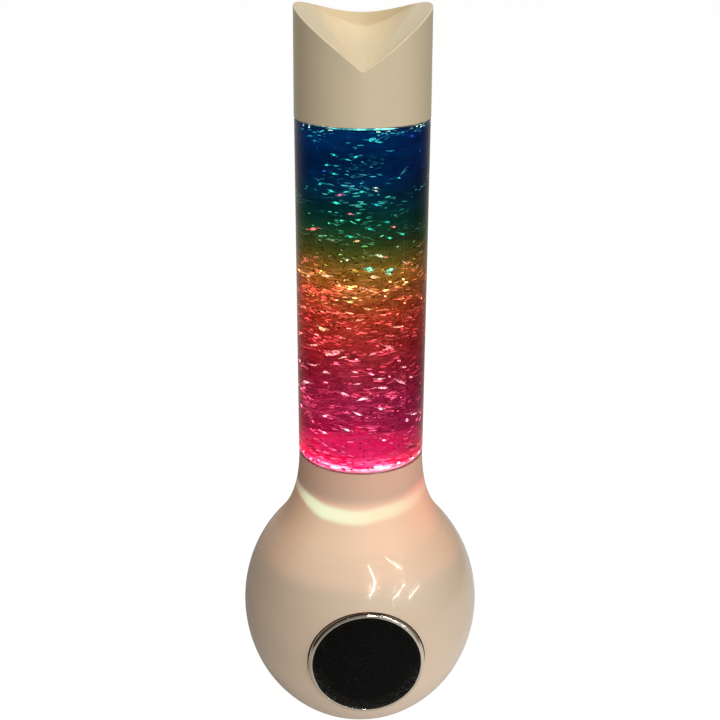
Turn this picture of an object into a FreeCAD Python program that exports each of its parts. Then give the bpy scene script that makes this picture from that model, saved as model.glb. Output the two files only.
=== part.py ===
import FreeCAD, Part
import math, os
from FreeCAD import Vector as V, Rotation, Placement

# Glitter lamp with a loudspeaker in its base. Millimetres. +Z up, the lamp stands on z = 0, and the
# lamp's axis is the Z axis. The speaker faces -Y, and the buttons and sockets are on the +Y side.

# ---- driving dimensions -------------------------------------------------------------------------
TUBE_R = 35.0            # bottle, outside
TUBE_WALL = 2.5
TUBE_Z0 = 156.0          # bottle's underside, on the rim of the neck
TUBE_Z1 = 342.9          # bottle's shoulder, under the cap's lower edge
HEEL_R = 3.0             # rounded heel of the bottle
FLOOR_T = 2.5            # bottle's floor
BNECK_R = 32.3           # bottle's narrower top, inside the cap
BNECK_Z1 = 358.5
FILM_T = 0.1
LIQ_TOP = 350.0

CAP_R0 = 35.15           # cap, outside radius at its lower edge
CAP_R1 = 34.7            # and near its top
CAP_Z0 = 342.9
CAP_ZV = 369.8           # lowest point of the scoop, at the front
CAP_F = 0.32             # the scoop's rise from front to back
CAP_K = 0.775            # the scoop's rise from the middle to each side
CAP_TURN = -2.0          # the cap's turn about the lamp's axis, degrees
CAP_WALL_Z = 3.0
BOWL_F = 0.213           # inside the rim, the scoop's middle is flatter, and sinks below the rim at the back
BOWL_K = 0.90
BOWL_R = 33.4            # inside of the low wall that this leaves round the back

BALL_Z = 58.65           # centre of the ball
BALL_R = 68.3            # horizontal half width
BALL_H = 73.35           # vertical half height
FLARE = [(34.8, 156.0), (35.15, 129.8), (41.9, 117.9), (49.83, 108.82)]   # neck's curve into the ball
WALL = 2.4
BASE_Z0 = 1.2            # underside of the base shell and cover
RIM_IN = 31.2            # inner radius of the neck's rim

SP_Z = 55.0              # speaker axis height
SP_S = 64.3              # edge of the grille, forward of the lamp's axis
SP_R = 29.8              # grille's edge radius
RING_R = 32.4            # trim ring, outside
HOLE_R = 32.5            # speaker hole in the base

BTN_R = 3.4
BTN_TRAVEL = 1.0
BTN_X = (13.0, 0.0, -13.0)
BTN_Z = 65.0
LOW_Z = 51.0             # height of the rocker switch and the two sockets
ROCK_X = 0.0
DC_X = 14.0
AUX_X = -14.0
AUX_R = 1.8
AUX_L = 14.0
PANEL = (22.0, 44.0, 72.0)   # half width, lowest and highest z of the rear panel

FIT = 0.06               # radial running clearance
os.makedirs("parts", exist_ok=True)


# ---- helpers ------------------------------------------------------------------------------------
def cyl(r, z0, z1, x=0.0, y=0.0):
    return Part.makeCylinder(r, z1 - z0, V(x, y, z0))


def tube(ro, ri, z0, z1, x=0.0, y=0.0):
    return cyl(ro, z0, z1, x, y).cut(cyl(ri, z0 - 1, z1 + 1, x, y))


def ycyl(r, s0, s1, x=0.0, z=0.0, d=-1):
    """Cylinder along Y. s is the distance forward of the lamp's axis, towards -Y for d = -1."""
    return Part.makeCylinder(r, s1 - s0, V(x, d * s0, z), V(0, d, 0))


def box(x0, x1, y0, y1, z0, z1):
    return Part.makeBox(x1 - x0, y1 - y0, z1 - z0, V(x0, y0, z0))


def revolve(pts):
    """Full turn about Z of a closed polygon of (r, z)."""
    w = Part.makePolygon([V(r, 0, z) for r, z in pts] + [V(pts[0][0], 0, pts[0][1])])
    return Part.Face(w).revolve(V(0, 0, 0), V(0, 0, 1), 360)


def revolve_wire(edges):
    return Part.Face(Part.Wire(Part.__sortEdges__(edges))).revolve(V(0, 0, 0), V(0, 0, 1), 360)


def to_speaker(shape, d=-1, x=0.0, z=SP_Z):
    """Turn a shape made about Z so that its +Z points forward (-Y), and put it on the speaker's axis."""
    s = shape.copy()
    s.Placement = Placement(V(x, 0, z), Rotation(V(1, 0, 0), 90 if d < 0 else -90))
    return s


def line(a, b):
    return Part.LineSegment(V(a[0], 0, a[1]), V(b[0], 0, b[1])).toShape()


def arc(a, m, b):
    return Part.Arc(V(a[0], 0, a[1]), V(m[0], 0, m[1]), V(b[0], 0, b[1])).toShape()


def ball_r(z, k=0.0):
    """Outer radius of the ball at height z, or of its inner wall for k = the wall's thickness."""
    q = 1 - ((z - BALL_Z) / (BALL_H - k)) ** 2
    return (BALL_R - k) * math.sqrt(max(q, 0.0))


def surf_y(x, z):
    """How far from the lamp's axis plane the ball's skin is, at this x and z."""
    return math.sqrt(max(ball_r(z) ** 2 - x * x, 0.0))


def one(shape):
    """The single solid of a boolean result."""
    s = shape.removeSplitter()
    if len(s.Solids) == 1:
        return s.Solids[0]
    return Part.Compound(s.Solids)


nodes = {}


def put(name, shape):
    print(name, flush=True)
    s = one(shape) if shape.ShapeType != "Compound" or len(shape.Solids) == 1 else shape
    if not s.isValid():
        print("INVALID", name)
    nodes[name] = s


# ---- base shell ---------------------------------------------------------------------------------
def bezier(pts):
    c = Part.BezierCurve()
    c.setPoles([V(r, 0, z) for r, z in pts])
    return c.toShape()


def ellipse_arc(ra, rb, zc, z_hi, z_lo):
    """Right hand side of an ellipse about (0, zc), from height z_hi down to z_lo."""
    el = Part.Ellipse(V(0, 0, zc + rb), V(ra, 0, zc), V(0, 0, zc))
    hi = V(ra * math.sqrt(1 - ((z_hi - zc) / rb) ** 2), 0, z_hi)
    lo = V(ra * math.sqrt(1 - ((z_lo - zc) / rb) ** 2), 0, z_lo)
    mid = V(ra, 0, zc)
    p, q, m = el.parameter(hi), el.parameter(lo), el.parameter(mid)
    two = 2 * math.pi
    if (m - p) % two < (q - p) % two:
        return Part.ArcOfEllipse(el, p, p + (q - p) % two).toShape(), hi, lo
    return Part.ArcOfEllipse(el, q, q + (p - q) % two).toShape(), hi, lo


def base_solid(k):
    """Solid inside the outer skin moved in by k."""
    f = FLARE
    tx, tz = f[3][0] - f[2][0], f[3][1] - f[2][1]
    m = math.hypot(tx, tz)
    nx, nz = tz / m * k, -tx / m * k
    zj = f[3][1] + nz
    zb = BASE_Z0 if k == 0 else 3.6
    e, hi, lo = ellipse_arc(BALL_R - k, BALL_H - k, BALL_Z, zj, zb)
    fl = [(f[0][0] - k, f[0][1]), (f[1][0] - k, f[1][1] - 0.4 * k), (f[2][0] + nx, f[2][1] + nz), (hi.x, hi.z)]
    return revolve_wire([bezier(fl), e, line((lo.x, zb), (0, zb)), line((0, zb), (0, f[0][1])),
                         line((0, f[0][1]), fl[0])])


outer = base_solid(0.0)
inner = base_solid(WALL)
shell = outer.cut(inner).cut(cyl(34.8 - WALL, 130.0, 153.5)).cut(cyl(RIM_IN, 150.0, 160.0))
# bottom opening with a ledge above the cover
shell = shell.cut(cyl(40.1, 0.0, 3.6))
ledge = revolve([(37.6, 3.6), (46.0, 3.6), (48.5, 6.0), (37.6, 6.0)]).common(outer)
# screw posts in the foot
posts = None
for a in (45, 135, 225, 315):
    px, py = 36.0 * math.cos(math.radians(a)), 36.0 * math.sin(math.radians(a))
    p = cyl(3.4, 3.6, 16.0, px, py)
    rib = box(36.0, 60.0, -1.0, 1.0, 3.6, 15.0)
    rib.Placement = Placement(V(0, 0, 0), Rotation(V(0, 0, 1), a))
    p = p.fuse(rib).common(outer)
    posts = p if posts is None else posts.fuse(p)
# ring inside the neck that carries the lamp chassis, with three bosses
neck_ring = revolve([(27.0, 114.0), (44.0, 114.0), (44.0, 117.0), (27.0, 117.0)]).common(outer)
for a in (30, 150, 270):
    px, py = 29.0 * math.cos(math.radians(a)), 29.0 * math.sin(math.radians(a))
    neck_ring = neck_ring.fuse(cyl(3.0, 107.0, 117.0, px, py))
# collar round the speaker, with the ledge that the speaker's flange sits on
collar = to_speaker(tube(35.2, HOLE_R, 49.0, 75.0).fuse(tube(34.0, 28.4, 51.5, 55.0))).common(outer)
# frame round the rear panel
pw, pz0, pz1 = PANEL
prim = box(-pw - 2.0, pw + 2.0, 50.0, 75.0, pz0 - 2.0, pz1 + 2.0)
prim = prim.cut(box(-pw, pw, 40.0, 80.0, pz0, pz1)).common(outer)
prim = prim.cut(box(-80, 80, 0, 58.0, 0, 100))
shell = shell.fuse(ledge).fuse(posts).fuse(neck_ring).fuse(collar).fuse(prim)
shell = shell.cut(to_speaker(cyl(HOLE_R, 55.0, 80.0))).cut(to_speaker(cyl(28.4, 48.0, 60.0)))
shell = shell.cut(box(-pw, pw, 40.0, 80.0, pz0, pz1))
# pilot holes
for a in (45, 135, 225, 315):
    px, py = 36.0 * math.cos(math.radians(a)), 36.0 * math.sin(math.radians(a))
    shell = shell.cut(cyl(1.25, 3.0, 13.0, px, py))
for a in (30, 150, 270):
    px, py = 29.0 * math.cos(math.radians(a)), 29.0 * math.sin(math.radians(a))
    shell = shell.cut(cyl(1.25, 109.0, 118.0, px, py))
for a in (45, 135, 225, 315):
    q = to_speaker(cyl(0.9, 50.0, 56.0, 30.4 * math.cos(math.radians(a)), 30.4 * math.sin(math.radians(a))))
    shell = shell.cut(q)
put("base_shell", shell)

# ---- foot ---------------------------------------------------------------------------------------
cover = cyl(39.9, BASE_Z0, 3.6)
for a in (45, 135, 225, 315):
    px, py = 36.0 * math.cos(math.radians(a)), 36.0 * math.sin(math.radians(a))
    cover = cover.cut(cyl(1.5, 0.0, 5.0, px, py)).cut(cyl(2.8, 0.0, 2.4, px, py))
for sx, sy in ((-19, 1), (19, 1), (-19, 25), (19, 25)):
    cover = cover.fuse(cyl(2.6, 3.6, 17.0, sx, sy))
for sx, sy in ((-19, 1), (19, 1), (-19, 25), (19, 25)):
    cover = cover.cut(cyl(0.9, 9.0, 18.0, sx, sy))
put("bottom_cover", cover)

foot = cyl(31.0, 0.0, 1.2)
foot = foot.makeFillet(0.4, [e for e in foot.Edges if abs(e.BoundBox.ZMax) < 1e-6])
put("rubber_foot", foot)


def screw(r, L, hr, hh, pos, axis, recess=True):
    """Pan head screw: head from pos outwards along axis, shank the other way."""
    ax = V(*axis)
    p = V(*pos)
    s = Part.makeCylinder(r, L, p, V(-ax.x, -ax.y, -ax.z))
    h = Part.makeCylinder(hr, hh, p, ax)
    top = [e for e in h.Edges if (e.CenterOfMass - (p + ax * hh)).Length < 1e-6]
    h = h.makeFillet(min(hh * 0.45, 0.5), top)
    s = s.fuse(h)
    # cross recess
    c = p + ax * (hh - 0.6)
    u = V(0, 0, 1) if abs(ax.z) < 0.5 else V(1, 0, 0)
    for k in (0, 90):
        b = Part.makeBox(hr * 1.1, hr * 0.28, 1.2, V(-hr * 0.55, -hr * 0.14, 0))
        b.Placement = Placement(c, Rotation(V(0, 0, 1), ax)).multiply(Placement(V(0, 0, 0), Rotation(V(0, 0, 1), k)))
        s = s.cut(b)
    return one(s)


put("cover_screws", Part.Compound([
    screw(1.25, 10.0, 2.6, 1.1, (36.0 * math.cos(math.radians(a)), 36.0 * math.sin(math.radians(a)), 2.4), (0, 0, -1))
    for a in (45, 135, 225, 315)]))
put("ballast_weight", cyl(15.5, 3.6, 12.0, 0, -16.0).fuse(cyl(15.5, 3.6, 9.0, 0, -14.0)))

# ---- main board ---------------------------------------------------------------------------------
board = box(-22, 22, -2, 28, 17.0, 18.6)
for sx, sy in ((-19, 1), (19, 1), (-19, 25), (19, 25)):
    board = board.cut(cyl(1.1, 16.0, 20.0, sx, sy))
put("main_board", board)
comp = [box(-8, 4, 8, 20, 18.6, 20.2), box(-18, -11, 10, 17, 18.6, 20.0), cyl(3.1, 18.6, 25.6, 11.0, 8.0),
        cyl(3.1, 18.6, 25.6, 11.0, 16.0), box(-6, 6, -1, 4, 18.6, 23.0), box(-16, -9, 20, 24, 18.6, 22.0),
        box(7, 14, 21, 26, 18.6, 23.0), cyl(2.4, 18.6, 22.0, -13.5, 6.0)]
put("board_components", Part.Compound(comp))
put("board_screws", Part.Compound([screw(0.9, 7.5, 1.9, 1.1, (sx, sy, 18.6), (0, 0, 1))
                                   for sx, sy in ((-19, 1), (19, 1), (-19, 25), (19, 25))]))

# ---- lamp chassis in the neck -------------------------------------------------------------------
ch = revolve([(4.6, 117.0), (31.8, 117.0), (31.8, 119.5), (28.3, 119.5), (28.3, 151.0), (26.6, 151.0),
              (26.6, 119.5), (4.6, 119.5)])
for a in (30, 150, 270):
    px, py = 29.0 * math.cos(math.radians(a)), 29.0 * math.sin(math.radians(a))
    # room for the screw head beside the cup's wall
    ch = ch.cut(cyl(2.7, 119.5, 124.0, px, py)).cut(cyl(1.4, 116.0, 120.0, px, py))
for a in (60, 240):
    px, py = 8.0 * math.cos(math.radians(a)), 8.0 * math.sin(math.radians(a))
    ch = ch.cut(cyl(0.95, 116.0, 120.0, px, py))
# lead hole
ch = ch.cut(cyl(2.2, 116.0, 121.0, 0.0, 20.0))
put("lamp_chassis", ch)
put("chassis_screws", Part.Compound([
    screw(1.25, 9.0, 2.5, 1.4, (29.0 * math.cos(math.radians(a)), 29.0 * math.sin(math.radians(a)), 119.5), (0, 0, 1))
    for a in (30, 150, 270)]))
put("light_diffuser", tube(28.3, 14.0, 151.0, 152.4))
lb = tube(26.2, 14.5, 121.5, 123.0)
for a in (0, 120, 240):
    px, py = 24.0 * math.cos(math.radians(a)), 24.0 * math.sin(math.radians(a))
    lb = lb.fuse(cyl(1.6, 119.5, 121.5, px, py))
put("led_board", lb)
leds = []
for i in range(12):
    a = math.radians(30 * i + 15)
    b = box(-2.5, 2.5, -2.5, 2.5, 123.0, 124.2).fuse(cyl(1.9, 124.2, 124.6))
    b = b.cut(cyl(1.6, 124.1, 125.0))
    b.Placement = Placement(V(20.0 * math.cos(a), 20.0 * math.sin(a), 0), Rotation(V(0, 0, 1), 30 * i + 15))
    leds.append(one(b))
put("leds", Part.Compound(leds))

# ---- motor --------------------------------------------------------------------------------------
MB, MT = 92.0, 117.0
can = cyl(12.0, MB + 2.0, MT).cut(cyl(10.8, MB + 1.0, MT - 1.6))
can = can.fuse(cyl(4.5, MT, MT + 3.0)).cut(cyl(1.0 + FIT, MB, MT + 4.0))
for a in (60, 240):
    px, py = 8.0 * math.cos(math.radians(a)), 8.0 * math.sin(math.radians(a))
    can = can.cut(cyl(0.9, MT - 2.0, MT + 1.0, px, py))
put("motor_can", can)
cap2 = cyl(12.0, MB, MB + 2.0).fuse(tube(10.8, 9.4, MB + 2.0, MB + 4.0)).fuse(cyl(3.5, MB - 1.5, MB + 3.0))
cap2 = cap2.cut(cyl(1.0 + FIT, MB - 2.0, MB + 6.0))
put("motor_end_cap", cap2)
mags = []
ring = tube(10.8, 8.9, MB + 5.0, MT - 3.0)
for k in (0, 180):
    w = box(0.0, 14.0, -7.0, 7.0, MB, MT)
    w.Placement = Placement(V(0, 0, 0), Rotation(V(0, 0, 1), k))
    mags.append(one(ring.common(w)))
put("motor_field_magnets", Part.Compound(mags))
arm = cyl(8.2, MB + 6.0, MT - 5.0)
for k in range(3):
    s = box(4.5, 10.0, -0.9, 0.9, MB, MT)
    s.Placement = Placement(V(0, 0, 0), Rotation(V(0, 0, 1), 120 * k + 30))
    arm = arm.cut(s)
arm = arm.fuse(cyl(3.0, MB + 4.0, MT - 3.2)).cut(cyl(1.0, MB, MT))
put("motor_armature", arm)
put("motor_shaft", cyl(1.0, MB - 1.0, 150.0))
car = cyl(12.0, 146.0, 150.4).fuse(cyl(3.5, 138.0, 146.0)).cut(cyl(1.0, 130.0, 150.0))
for k in (0, 180):
    x = 7.5 * math.cos(math.radians(k))
    car = car.cut(cyl(3.0, 148.0, 152.0, x, 0.0))
put("magnet_carrier", car)
put("drive_magnets", Part.Compound([cyl(3.0, 148.0, 151.0, 7.5, 0), cyl(3.0, 148.0, 151.0, -7.5, 0)]))
put("motor_screws", Part.Compound([
    screw(0.9, 3.6, 1.7, 1.0, (8.0 * math.cos(math.radians(a)), 8.0 * math.sin(math.radians(a)), 119.5), (0, 0, 1))
    for a in (60, 240)]))

# ---- bottle -------------------------------------------------------------------------------------
R, W = TUBE_R, TUBE_WALL
z0, z1 = TUBE_Z0, TUBE_Z1
c45 = math.cos(math.radians(45))
ri = R - W
hi = 1.2
e = [
    line((0, z0), (28.5, z0)), line((28.5, z0), (28.5, z0 - 6)), line((28.5, z0 - 6), (31.0, z0 - 6)),
    line((31.0, z0 - 6), (31.0, z0)), line((31.0, z0), (R - HEEL_R, z0)),
    arc((R - HEEL_R, z0), (R - HEEL_R + HEEL_R * c45, z0 + HEEL_R - HEEL_R * c45), (R, z0 + HEEL_R)),
    line((R, z0 + HEEL_R), (R, z1 - 0.8)),
    arc((R, z1 - 0.8), (R - 0.8 + 0.8 * c45, z1 - 0.8 + 0.8 * c45), (R - 0.8, z1)),
    line((R - 0.8, z1), (BNECK_R, z1)), line((BNECK_R, z1), (BNECK_R, BNECK_Z1 - 2)),
    line((BNECK_R, BNECK_Z1 - 2), (BNECK_R - 2, BNECK_Z1)), line((BNECK_R - 2, BNECK_Z1), (11.0, BNECK_Z1)),
    line((11.0, BNECK_Z1), (11.0, BNECK_Z1 + 4.5)), line((11.0, BNECK_Z1 + 4.5), (8.0, BNECK_Z1 + 4.5)),
    line((8.0, BNECK_Z1 + 4.5), (8.0, BNECK_Z1 - 2.5)), line((8.0, BNECK_Z1 - 2.5), (BNECK_R - 4.4, BNECK_Z1 - 2.5)),
    line((BNECK_R - 4.4, BNECK_Z1 - 2.5), (BNECK_R - 2.4, BNECK_Z1 - 4.5)),
    line((BNECK_R - 2.4, BNECK_Z1 - 4.5), (BNECK_R - 2.4, z1 + 0.6)), line((BNECK_R - 2.4, z1 + 0.6), (ri, z1 - 2.0)),
    line((ri, z1 - 2.0), (ri, z0 + FLOOR_T + hi)),
    arc((ri, z0 + FLOOR_T + hi), (ri - hi + hi * c45, z0 + FLOOR_T + hi - hi * c45), (ri - hi, z0 + FLOOR_T)),
    line((ri - hi, z0 + FLOOR_T), (0, z0 + FLOOR_T)), line((0, z0 + FLOOR_T), (0, z0)),
]
bottle = revolve_wire(e)
bottle = bottle.cut(cyl(1.0, z0 + 1.0, z0 + 5.0))
put("bottle", bottle)
fz0, fz1 = z0 + FLOOR_T + hi + 0.1, z1 - 2.2
put("rainbow_film", tube(ri, ri - FILM_T, fz0, fz1))
liq = revolve([(0, z0 + FLOOR_T), (ri - hi - 0.1, z0 + FLOOR_T), (ri - FILM_T, z0 + FLOOR_T + hi + 0.1),
               (ri - FILM_T, z1 - 2.2), (BNECK_R - 2.5, z1 + 0.6), (BNECK_R - 2.5, LIQ_TOP), (0, LIQ_TOP)])
liq = liq.cut(cyl(23.4, z0 + FLOOR_T - 1, 171.5))
put("glitter_liquid", liq)
pz = BNECK_Z1
plug = cyl(7.9, pz - 1.5, pz + 4.5).fuse(cyl(11.0, pz + 4.5, pz + 6.5))
plug = plug.cut(tube(9.0, 6.9, pz + 0.6, pz + 2.4)).cut(cyl(5.2, pz - 3, pz + 2.5))
# finger slot of the plug
plug = plug.cut(box(-8, 8, -1.2, 1.2, pz + 5.3, pz + 8))
put("bottle_plug", plug)
oring = Part.makeTorus(7.45, 0.54, V(0, 0, pz + 1.5))
put("plug_seal", oring)
put("bottle_gasket", tube(32.4, 31.0, 150.3, 153.5))

# ---- stirrer in the bottle ----------------------------------------------------------------------
put("impeller_pin", cyl(1.0, z0 + 1.0, 170.6))
hub = cyl(13.0, 159.2, 162.6).fuse(cyl(3.6, 159.2, 168.2))
for k in range(6):
    b = box(2.5, 22.0, -0.6, 0.6, 160.2, 167.4)
    cutb = box(13.0, 30.0, -2, 2, 158.0, 161.2)
    b = b.cut(cutb)
    b.Placement = Placement(V(0, 0, 0), Rotation(V(0, 0, 1), 60 * k + 30))
    hub = hub.fuse(b)
hub = hub.cut(cyl(1.0 + FIT, 150, 175))
for k in (0, 180):
    x = 7.5 * math.cos(math.radians(k))
    hub = hub.cut(cyl(3.0, 159.0, 161.4, x, 0.0))
put("impeller", hub)
put("impeller_magnets", Part.Compound([cyl(3.0, 159.2, 161.4, 7.5, 0), cyl(3.0, 159.2, 161.4, -7.5, 0)]))
put("impeller_retainer", cyl(2.6, 168.8, 171.2).cut(cyl(1.0, 165.0, 170.6)))


# ---- cap ----------------------------------------------------------------------------------------
def scoop(dz, foot=0.5, top=31.5, f=CAP_F, k=CAP_K):
    """Solid above the scooped top: an upright elliptical cone with its small flat foot at the front of the cap."""
    rings = []
    for h in (foot, top):
        el = Part.Ellipse()
        el.Center = V(0, 0, h)
        el.MajorRadius = h / f
        el.MinorRadius = h / k
        el.AngleXU = math.pi / 2
        rings.append(Part.Wire(el.toShape()))
    s = Part.makeLoft(rings, True, True)
    s = s.fuse(box(-60, 60, -140, 160, top, top + 20))
    s.translate(V(0, -CAP_R1, CAP_ZV - foot + dz))
    return s


cap_solid = revolve_wire([
    line((0, CAP_Z0), (CAP_R0 - 0.5, CAP_Z0)),
    arc((CAP_R0 - 0.5, CAP_Z0), (CAP_R0 - 0.5 + 0.5 * c45, CAP_Z0 + 0.5 - 0.5 * c45), (CAP_R0, CAP_Z0 + 0.5)),
    line((CAP_R0, CAP_Z0 + 0.5), (CAP_R1, 405.0)), line((CAP_R1, 405.0), (0, 405.0)), line((0, 405.0), (0, CAP_Z0))])
cap_out = cap_solid.cut(scoop(0.0))
cap_out = max(cap_out.Solids, key=lambda s: s.Volume)
rim = [e for e in cap_out.Edges if e.BoundBox.ZMax > CAP_ZV + 4 and e.BoundBox.ZMin > CAP_ZV - 5
       and e.BoundBox.XLength > 1e-3]
filleted = None
for rad in (0.5, 0.4):
    try:
        t = cap_out.makeFillet(rad, rim)
        if t.isValid() and t.Volume > 0.9 * cap_out.Volume:
            filleted = t
            print("cap rim rounded", rad)
            break
    except Exception as ex:
        print("cap rim", rad, "not rounded:", str(ex)[:60])
if filleted is not None:
    cap_out = filleted
bowl = scoop(0.4, foot=0.9, f=BOWL_F, k=BOWL_K).common(cyl(BOWL_R, 360.0, 419.0))
bowl = max(bowl.Solids, key=lambda s: s.Volume)


def on_wall(e):
    """An edge of the bowl's floor that runs along its low wall."""
    pts = [e.valueAt(e.FirstParameter + (e.LastParameter - e.FirstParameter) * k / 4) for k in range(5)]
    return all(abs(math.hypot(p.x, p.y) - BOWL_R) < 0.02 and p.z < 410 for p in pts) \
        and len(set(round(math.atan2(p.x, p.y), 3) for p in pts)) > 1


low = [e for e in bowl.Edges if on_wall(e)]
for rad in (2.5, 2.0, 1.5, 1.0):
    try:
        t = bowl.makeFillet(rad, low)
        if t.isValid() and 0.9 * bowl.Volume < t.Volume < bowl.Volume:
            bowl = t
            print("bowl edge rounded", rad)
            break
    except Exception as ex:
        print("bowl edge", rad, "not rounded:", str(ex)[:60])
cap_out = cap_out.cut(bowl)
cap_out = max(cap_out.Solids, key=lambda s: s.Volume)
cap_in = cyl(BNECK_R + 0.1, CAP_Z0 - 1, 387.0).cut(scoop(-CAP_WALL_Z)).cut(
    scoop(-CAP_WALL_Z, f=BOWL_F, k=BOWL_K))
cap_in = max(cap_in.Solids, key=lambda s: s.Volume)
cap = cap_out.cut(cap_in)
cap = max(cap.Solids, key=lambda s: s.Volume)
cap.rotate(V(0, 0, 0), V(0, 0, 1), CAP_TURN)
print("cap rim rounded:", filleted is not None)
put("cap", cap)

# ---- speaker ------------------------------------------------------------------------------------
S = SP_S
# the ring fills its hole at the back and stands a little clear of it in front, where it is rounded
bead = 2.05
rc, zc = RING_R - 0.4 - bead, S - 1.7
ring_loop = [line((SP_R, 57.6), (RING_R, 57.6)), line((RING_R, 57.6), (RING_R, 59.0)),
             line((RING_R, 59.0), (RING_R - 0.4, 59.4)), line((RING_R - 0.4, 59.4), (rc + bead, zc)),
             arc((rc + bead, zc), (rc + bead * math.sqrt(0.5), zc + bead * math.sqrt(0.5)), (rc, zc + bead)),
             line((rc, zc + bead), (SP_R, zc + bead - 0.15)), line((SP_R, zc + bead - 0.15), (SP_R, 57.6))]
put("trim_ring", to_speaker(revolve_wire(ring_loop)))


def dome(re, ze, h, t):
    """Shallow dome of edge radius re at height ze, rising by h, with thickness t."""
    rr = (re * re + h * h) / (2 * h)
    a = arc((re, ze), (rr * math.sin(0.5 * math.asin(re / rr)), ze + h - rr * (1 - math.cos(0.5 * math.asin(re / rr)))),
            (0, ze + h))
    r2 = rr - t
    re2 = re - t
    b = arc((re2, ze - t * 0.6), (re2 * 0.55, ze + h - t - (re2 * 0.55) ** 2 / (2 * r2)), (0, ze + h - t))
    return a, b, re2


a, b, re2 = dome(SP_R - 0.1, S, 1.6, 0.6)
gr = revolve_wire([a, line((0, S + 1.6), (0, S + 1.0)), b, line((re2, S - 0.36), (re2, 58.0)),
                   line((re2, 58.0), (SP_R - 0.1, 58.0)), line((SP_R - 0.1, 58.0), (SP_R - 0.1, S))])
put("speaker_grille", to_speaker(gr))
fr = revolve([(32.2, 55.0), (32.2, 56.2), (27.2, 56.2), (27.2, 53.6), (17.2, 43.2), (17.2, 39.2), (12.5, 39.2),
              (12.5, 38.0), (18.4, 38.0), (18.4, 42.6), (28.2, 52.8), (28.2, 55.0)])
for k in range(4):
    w = box(13.5, 24.0, -4.5, 4.5, 43.6, 50.6)
    w.Placement = Placement(V(0, 0, 0), Rotation(V(0, 0, 1), 90 * k + 45))
    fr = fr.cut(w)
for k in (45, 135, 225, 315):
    fr = fr.cut(cyl(1.0, 50, 60, 30.4 * math.cos(math.radians(k)), 30.4 * math.sin(math.radians(k))))
put("speaker_frame", to_speaker(fr))
put("speaker_screws", Part.Compound([
    to_speaker(screw(0.9, 5.5, 1.6, 1.1, (30.4 * math.cos(math.radians(k)), 30.4 * math.sin(math.radians(k)), 56.2),
                     (0, 0, 1))) for k in (45, 135, 225, 315)]))
put("speaker_magnet", to_speaker(tube(19.5, 11.6, 29.5, 36.5).fuse(tube(17.5, 11.2, 36.5, 38.0))))
put("speaker_yoke", to_speaker(cyl(18.0, 26.5, 29.5).fuse(cyl(9.2, 29.5, 38.4))))
put("voice_coil", to_speaker(tube(10.5, 9.9, 32.5, 43.0)))
cone = revolve([(10.5, 42.0), (12.2, 42.6), (23.4, 53.2), (24.4, 53.2), (24.4, 53.7), (23.2, 53.7), (12.0, 43.2),
                (10.5, 43.0)])
put("speaker_cone", to_speaker(cone))
hat = [(10.5 * math.cos(math.radians(9 * i)), 43.0 + 3.0 * math.sin(math.radians(9 * i))) for i in range(11)]
hat[-1] = (0.0, 46.0)
hat_in = [(9.95 * math.cos(math.radians(9 * i)), 43.0 + 2.55 * math.sin(math.radians(9 * i))) for i in range(10, -1, -1)]
hat_in[0] = (0.0, 45.55)
dc = revolve(hat + hat_in)
put("dust_cap", to_speaker(dc))
su = revolve_wire([line((24.8, 54.6), (24.8, 55.0)), arc((24.8, 55.0), (26.0, 56.1), (27.2, 55.0)),
                   line((27.2, 55.0), (27.2, 54.6)), arc((27.2, 54.6), (26.0, 55.6), (24.8, 54.6))])
put("speaker_surround", to_speaker(su))
sp = revolve([(10.9, 40.1), (12.6, 39.7), (13.8, 40.3), (15.0, 39.7), (17.2, 40.1), (17.2, 40.5), (15.0, 40.1),
              (13.8, 40.7), (12.6, 40.1), (10.9, 40.5)])
put("speaker_spider", to_speaker(sp))

# ---- rear controls ------------------------------------------------------------------------------
skin = outer.cut(inner)
g = 0.15
panel = skin.common(box(-pw + g, pw - g, 50.0, 80.0, pz0 + g, pz1 - g))
panel = max(panel.Solids, key=lambda s: s.Volume)
# posts behind the panel that carry the control board
PB = 52.0                # face of the control board, behind the panel
for x, z in ((-19.0, 68.0), (19.0, 68.0), (-19.0, 58.2), (19.0, 58.2)):
    p = ycyl(1.9, PB, surf_y(x, z) - 1.2, x, z, 1)
    panel = panel.fuse(p)
for x in BTN_X:
    panel = panel.cut(ycyl(BTN_R + FIT, 40, 80, x, BTN_Z, 1))
rk = (6.9, 4.3)          # half length and half height of the rocker's housing
panel = panel.cut(box(ROCK_X - rk[0], ROCK_X + rk[0], 40, 80, LOW_Z - rk[1], LOW_Z + rk[1]))
panel = panel.cut(ycyl(3.6, 40, 80, DC_X, LOW_Z, 1)).cut(ycyl(3.0, 40, 80, AUX_X, LOW_Z, 1))
for x, z in ((-19.0, 68.0), (19.0, 68.0), (-19.0, 58.2), (19.0, 58.2)):
    panel = panel.cut(ycyl(0.7, PB - 1, PB + 6, x, z, 1))
put("control_panel", panel)

cb = box(-21.0, 21.0, PB - 1.6, PB, 56.4, 70.2)
for x, z in ((-19.0, 68.0), (19.0, 68.0), (-19.0, 58.2), (19.0, 58.2)):
    cb = cb.cut(ycyl(0.95, PB - 3, PB + 1, x, z, 1))
put("control_board", cb)
put("panel_screws", Part.Compound([screw(0.7, 6.0, 1.5, 0.9, (x, PB - 1.6, z), (0, -1, 0))
                                   for x, z in ((-19.0, 68.0), (19.0, 68.0), (-19.0, 58.2), (19.0, 58.2))]))
ts = []
for x in BTN_X:
    b = box(x - 3.0, x + 3.0, PB, PB + 3.4, BTN_Z - 3.0, BTN_Z + 3.0)
    b = b.fuse(ycyl(1.7, PB + 3.4, PB + 4.2, x, BTN_Z, 1))
    ts.append(one(b))
put("tact_switches", Part.Compound(ts))


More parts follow.
